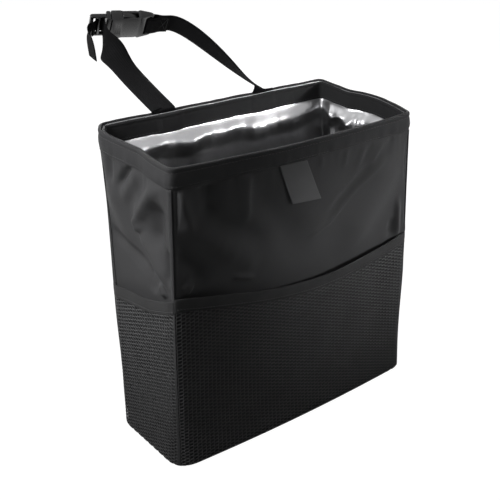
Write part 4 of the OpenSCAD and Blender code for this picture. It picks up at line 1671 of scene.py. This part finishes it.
@dataclass
class HeadrestStrap:
    """Both halves of the strap and its buckle."""

    form: BagForm
    finishes: Finishes
    # the webbing and the buckle, as in the part's source; angles are in degrees
    width: float = 25.0
    web: float = 1.2
    spread: float = 117.0
    mouth: tuple[float, float, float] = (-60.5, 160.0, 344.5)
    roll: float = 136.0
    yaw: float = 21.0
    tilt: float = -2.5
    tail: float = 32.0
    socket_length: float = 40.0
    bar: float = 1.9
    slot: float = 4.0
    flange: float = 4.0
    fit: float = 0.3
    # how the straps run between the rim and the buckle, fitted to the photograph
    turn: float = 1.8
    right_leave: float = 85.0
    left_runs: tuple[float, float] = (42.0, 22.0)
    right_runs: tuple[float, float] = (23.0, 37.0)
    left_twist_at: float = 0.42
    right_twist: tuple[float, float] = (0.23, 1.3)
    right_lean: float = 0.43
    left_shift: float = -2.6
    right_shift: float = -5.5
    loop_slack: float = 4.5

    def __post_init__(self) -> None:
        """Works out the buckle's own directions."""
        tilt, roll, yaw = math.radians(self.tilt), math.radians(self.roll), math.radians(self.yaw)
        turned = np.array([
            [math.cos(yaw), math.sin(yaw), 0.0],
            [-math.sin(yaw), math.cos(yaw), 0.0],
            [0.0, 0.0, 1.0],
        ])
        self.origin = np.array(self.mouth)
        self.along = turned @ np.array([math.cos(tilt), 0.0, math.sin(tilt)])
        self.across = turned @ np.array(
            [-math.sin(tilt) * math.sin(roll), math.cos(roll), math.cos(tilt) * math.sin(roll)]
        )
        self.inward = np.cross(self.along, self.across)
        self.ladder_x = -self.fit - self.flange - self.slot - self.bar
        self.socket_bar_x = self.socket_length - self.bar
        self.wrap = self.bar + 0.25 + self.web / 2

    def at(self, x: float, z: float) -> Array:
        """A point in the buckle's own plane, in mm."""
        return self.origin + x * self.along + z * self.inward

    def root(self, x: float, leave: float) -> list[Array]:
        """The strap end in the hem and its turn backwards over the rim.

        Args:
            x: the middle of the strap, in mm.
            leave: the angle from upright at which it leaves, in degrees.

        Returns:
            Points, in mm, from the hem outwards.
        """
        form = self.form
        lean = math.atan((form.mouth_depth - form.base_depth) / form.height)
        up = np.array([0.0, math.sin(lean), math.cos(lean)])
        depth = form.board_in + self.web / 2
        # the strap's middle keeps its x, while the rim sways
        top = np.array([x, *form.place(Wall.BACK, -x / (form.width / 2), form.height, depth)[1:]])
        leave = math.radians(leave)
        points = [top - (form.hem - 4) * up, top - form.hem / 2 * up, top - 3.0 * up]
        for k in range(15):
            a = lean + (leave - lean) * k / 14
            points.append(
                top + up * 0.3
                + self.turn * np.array([0.0, math.cos(lean) - math.cos(a), math.sin(a) - math.sin(lean)])
            )
        return points

    @staticmethod
    def run(a: Array, b: Array, c: Array, d: Array, n: int) -> list[Array]:
        """A smooth run from a to d that leaves towards b and arrives from c."""
        us = [k / n for k in range(1, n + 1)]
        return [(1 - u) ** 3 * a + 3 * (1 - u) ** 2 * u * b + 3 * (1 - u) * u**2 * c + u**3 * d for u in us]

    def ribbon(self, name: str, points: list[Array], widths: list[Array]) -> bpy.types.Object:
        """Sweeps the webbing's section along a run.

        Args:
            name: the piece's name.
            points: the run, in mm.
            widths: the direction of the width at each point.

        Returns:
            The strap.
        """
        p = np.array(points)
        run = np.gradient(p, axis=0)
        run /= np.linalg.norm(run, axis=1)[:, None]
        w = np.array(widths)
        w = w - np.sum(w * run, axis=1)[:, None] * run
        w /= np.linalg.norm(w, axis=1)[:, None]
        n = np.cross(w, run)
        half, t, lanes = self.width / 2, self.web / 2, 9
        # the section is thinner at the two edges
        level = [0.35 * t, *[t] * (lanes - 2), 0.35 * t]
        upper = [(half * (2 * k / (lanes - 1) - 1), level[k]) for k in range(lanes)]
        section = upper + [(a, -b) for a, b in reversed(upper)]
        section = np.array(section + section[:1])
        length = lengths_along(p)

        def where(i: Array, j: Array) -> Pair:
            """Places the strap's points."""
            a, b = section[i].T
            b = b * (1 + 0.05 * np.cos(a / half * 6.0))
            return p[j] + a[:, None] * w[j] + b[:, None] * n[j], np.stack([length[j], a], -1)

        obj = grid_piece(name, len(section), len(p), where)
        edit_all(
            obj,
            lambda: bpy.ops.mesh.remove_doubles(threshold=0.00001),
            lambda: bpy.ops.mesh.select_all(action="DESELECT"),
            lambda: bpy.ops.mesh.select_non_manifold(),
            lambda: bpy.ops.mesh.fill(),
            lambda: bpy.ops.mesh.select_all(action="SELECT"),
            lambda: bpy.ops.mesh.normals_make_consistent(inside=False),
        )
        return obj

    def build(self) -> None:
        """Makes both straps and both halves of the buckle."""
        self.adjustable()
        self.fixed()
        self.moulding("buckle_socket", Body.BAG)
        self.moulding("buckle_plug", Body.PLUG)

    def adjustable(self) -> None:
        """Makes the strap that runs through the ladder bars."""
        steps = 56
        turn = []
        for k in range(21):
            a = -math.pi * k / 20
            reach = self.loop_slack if math.cos(a) > 0 else 3.2
            turn.append(self.at(self.ladder_x + reach * math.cos(a), self.wrap * math.sin(a)))
        loop_x = self.ladder_x + self.loop_slack
        lead = [self.at(loop_x - 0.2, 7.0), self.at(loop_x, 3.0)]
        pull = (lead[0] - lead[1]) / np.linalg.norm(lead[0] - lead[1])
        near = lead[0] + self.left_runs[1] * pull
        x = -self.spread / 2 + self.left_shift
        ahead = near - self.root(x, 60.0)[-1]
        root = self.root(x, math.degrees(math.atan2(ahead[1], ahead[2])))
        away = (near - root[-1]) / np.linalg.norm(near - root[-1])
        span = self.run(root[-1], root[-1] + self.left_runs[0] * away, near, lead[0], steps)
        over = [self.at(self.ladder_x - back, up) for back, up in ((3.3, 1.6), (4.0, 3.4), (6.0, 4.5))]
        rest = over[-1] - 1.5 * self.along + np.array([0.0, 0.0, 5.0 - self.tail])
        above = rest + np.array([-1.5, 0.0, 16.0])
        tail = over + self.run(over[-1], over[-1] - 5.0 * self.along, above, rest, 20)
        points = root + span + [lead[1]] + turn + tail
        first = len(root)
        widths = []
        for i in range(len(points)):
            u = float(ease((i - first) / steps, self.left_twist_at, 1.0))
            widths.append(np.array([1.0, 0.0, 0.0]) * (1 - u) + self.across * u)
        obj = self.ribbon("adjustable_strap_webbing", points, widths)
        hand_in(obj, Body.BAG, self.finishes.webbing, "adjustable_strap", bends_to=Body.PLUG)
        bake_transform(obj)

    def fixed(self) -> None:
        """Makes the strap that is sewn round the socket's bar."""
        root = self.root(self.spread / 2 + self.right_shift, self.right_leave)
        x, lap, steps = self.socket_bar_x, self.web / 2 + 0.1, 60
        # the two laps, from the loop outwards
        laps = ((6.0, (lap + self.wrap) / 2), (8.5, lap + 0.3), (11.0, lap), (14.0, lap), (17.0, lap))
        back = [self.at(x + far, up) for far, up in reversed(laps)]
        out = [self.at(x + far, -up) for far, up in laps]
        turn = []
        for k in range(21):
            a = math.radians(75 + 210 * k / 20)
            reach = self.loop_slack if math.cos(a) < 0 else self.wrap
            turn.append(self.at(x + reach * math.cos(a), self.wrap * math.sin(a)))
        leave, (near, far) = math.radians(self.right_leave), self.right_runs
        away = np.array([0.0, math.sin(leave), math.cos(leave)])
        span = self.run(out[-1], out[-1] + near * self.along, root[-1] + far * away, root[-1], steps)
        points = back + turn + out + span + root[-2::-1]
        first = len(back) + len(turn) + len(out)
        lengthways = np.array([1.0, 0.0, 0.0])
        lean = self.right_lean
        askew = -math.cos(lean) * lengthways - math.sin(lean) * np.cross(away, lengthways)
        widths = []
        for i in range(len(points)):
            u = float(ease((i - first) / steps, *self.right_twist))
            flat = float(smooth((i - first - steps) / 14))
            w = self.across * (1 - u) + askew * u
            widths.append(w * (1 - flat) - lengthways * flat)
        obj = self.ribbon("fixed_strap_webbing", points, widths)
        hand_in(obj, Body.BAG, self.finishes.webbing, "fixed_strap")
        self.cross_stitch(x)

    def cross_stitch(self, x: float) -> None:
        """Sews a box with a cross over the fixed strap's return.

        Args:
            x: place of the socket's bar along the buckle, in mm.
        """
        x0, x1, half = x + 7.5, x + 15.5, self.width / 2 - 2.5
        a, b, c, d = (x0, -half), (x1, -half), (x1, half), (x0, half)
        corners = [a, b, c, d, a, c, b, d]
        level = self.web + 0.22
        lines = []
        for (xa, ya), (xb, yb) in zip(corners[:-1], corners[1:]):
            t = np.linspace(0, 1, 12)[:, None]
            flat = np.array([xa, ya]) * (1 - t) + np.array([xb, yb]) * t
            line = self.origin + flat[:, :1] * self.along + flat[:, 1:] * self.across + level * self.inward
            lines.append((line, np.repeat(self.inward[None], 12, 0)))
        rows = StitchRun(pitch=2.2, length=1.7, radius=0.22).sew("strap_stitches", lines)
        hand_in(rows, Body.BAG, self.finishes.thread)

    def moulding(self, node: str, body: Body) -> None:
        """Makes one half of the buckle with softened edges.

        Args:
            node: the node it stands for.
            body: the body it rides on.
        """
        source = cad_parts[node]
        mesh = source.data.copy()
        obj = bpy.data.objects.new(node + "_moulding", mesh)
        bpy.context.scene.collection.objects.link(obj)
        edit_all(
            obj,
            lambda: bpy.ops.mesh.remove_doubles(threshold=0.000005),
            lambda: bpy.ops.mesh.dissolve_limited(angle_limit=math.radians(0.5)),
        )
        bake_modifier(obj, "BEVEL", width=0.35 * MM, segments=2, limit_method="ANGLE",
                      angle_limit=math.radians(35), use_clamp_overlap=True)
        hand_in(obj, body, self.finishes.plastic, node)
        only(obj)
        bpy.ops.object.shade_smooth_by_angle(angle=math.radians(35))


class LampKind(Enum):
    """The two kinds of lamp in the studio."""

    SOFTBOX = "AREA"
    SPOT = "SPOT"


@dataclass(frozen=True)
class Lamp:
    """One lamp. Its spread is a softbox's side in metres, or a spot's cone in degrees."""

    name: str
    kind: LampKind
    place: tuple[float, float, float]
    aim: tuple[float, float, float]
    power: float
    spread: float

    def build(self) -> None:
        """Adds the lamp, turned to its aim."""
        clear_selection()
        bpy.ops.object.light_add(type=self.kind.value, location=self.place)
        lamp = bpy.context.object
        lamp.name = self.name
        lamp.data.energy = self.power
        lamp.rotation_euler = (Vector(self.aim) - Vector(self.place)).to_track_quat("-Z", "Y").to_euler()
        if self.kind is LampKind.SOFTBOX:
            lamp.data.size = self.spread
        else:
            lamp.data.spot_size = math.radians(self.spread)
            lamp.data.spot_blend = 1.0
            lamp.data.shadow_soft_size = 0.12


@dataclass
class Studio:
    """The floor, the lights, the world and the camera, with lengths in metres."""

    floor_size: float = 14.0
    floor_z: float = -0.0006
    floor_grey: float = 0.22
    floor_glow: float = 1.6
    glow_share: float = 0.62
    world_light: float = 0.015
    # the camera, as fitted to the bag's corners in the photograph, with its focal length in picture widths
    azimuth: float = 37.88
    elevation: float = 25.03
    distance: float = 0.8916
    target: tuple[float, float, float] = (-0.0205, 0.0, 0.162)
    focal_share: float = 980.5 / 500.0
    sensor: float = 36.0
    lamps: tuple[Lamp, ...] = (
        Lamp("left_softbox", LampKind.SOFTBOX, (-0.75, -0.045, 0.7), (0.0, 0.0, 0.2), 6.0, 0.35),
        Lamp("top_softbox", LampKind.SOFTBOX, (0.05, 0.75, 1.5), (0.0, 0.02, 0.25), 4.0, 0.9),
        Lamp("right_softbox", LampKind.SOFTBOX, (0.5, -0.22, 0.42), (0.05, 0.0, 0.2), 0.55, 0.22),
        Lamp("back_softbox", LampKind.SOFTBOX, (0.7, 1.1, 0.7), (0.0, 0.0, 0.18), 14.0, 0.6),
        Lamp("left_spot", LampKind.SPOT, (-0.7, 0.12, 0.95), (-0.131, 0.034, 0.270), 270.0, 8.0),
        Lamp("right_spot", LampKind.SPOT, (0.8, -0.9, 0.45), (0.145, -0.045, 0.185), 230.0, 9.5),
    )

    def build(self) -> None:
        """Sets the stage."""
        self.floor()
        self.world()
        for lamp in self.lamps:
            lamp.build()
        self.camera()
        bpy.context.scene.view_settings.view_transform = "Standard"

    def floor(self) -> None:
        """Adds the pale floor, which is white where it is plainly seen and still takes the shadow."""
        clear_selection()
        bpy.ops.mesh.primitive_plane_add(size=self.floor_size, location=(0, 0, self.floor_z))
        obj = bpy.context.object
        obj.name = "floor"
        surface = Surface("floor")
        grey = (self.floor_grey, self.floor_grey, self.floor_grey, 1.0)
        surface.feed(surface.shader, {"Base Color": grey, "Roughness": 0.9, "Specular IOR Level": 0.1})
        glow = surface.add("Emission", {"Color": (1.0, 1.0, 1.0, 1.0), "Strength": self.floor_glow})
        share = surface.calc("MULTIPLY", surface.plainly_seen(), self.glow_share)
        mix = surface.add("MixShader", {0: share, 1: surface.shader.outputs[0], 2: glow.outputs[0]})
        surface.feed(surface.tree.nodes["Material Output"], {"Surface": mix.outputs[0]})
        obj.data.materials.append(surface.material)
        obj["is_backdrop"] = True

    def world(self) -> None:
        """Sets a white world that lights softly."""
        world = bpy.data.worlds.new("studio")
        bpy.context.scene.world = world
        graph = Graph(world)
        strength = graph.map_range(graph.plainly_seen(), 0.0, 1.0, self.world_light, 1.0)
        graph.feed(graph.tree.nodes["Background"], {"Color": (1.0, 1.0, 1.0, 1.0), "Strength": strength})

    def camera(self) -> None:
        """Adds the camera at the photograph's viewing angle."""
        turn, dip = math.radians(self.azimuth), math.radians(self.elevation)
        ahead = Vector((math.sin(turn) * math.cos(dip), math.cos(turn) * math.cos(dip), -math.sin(dip)))
        clear_selection()
        bpy.ops.object.camera_add(location=Vector(self.target) - ahead * self.distance)
        cam = bpy.context.object
        cam.rotation_euler = ahead.to_track_quat("-Z", "Y").to_euler()
        cam.data.sensor_width = self.sensor
        cam.data.sensor_fit = "HORIZONTAL"
        cam.data.lens = self.focal_share * self.sensor
        bpy.context.scene.camera = cam


def main() -> None:
    """Builds the studio and the bag, piece by piece."""
    logging.basicConfig(level=logging.INFO, format="%(message)s")
    form = BagForm()
    finishes = Finishes()
    Studio().build()
    Walls(form, finishes).build()
    Mouth(form, finishes).build()
    for wall in (Wall.FRONT, Wall.LEFT, Wall.RIGHT):
        Pocket(wall, finishes, form).build()
    Patch(form, finishes).build()
    HeadrestStrap(form, finishes).build()
    boxes = {"cad": CAD_BOX, "visual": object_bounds()}
    boxes = {name: [list(map(float, corner)) for corner in box] for name, box in boxes.items()}


if __name__ == "__main__":
    main()
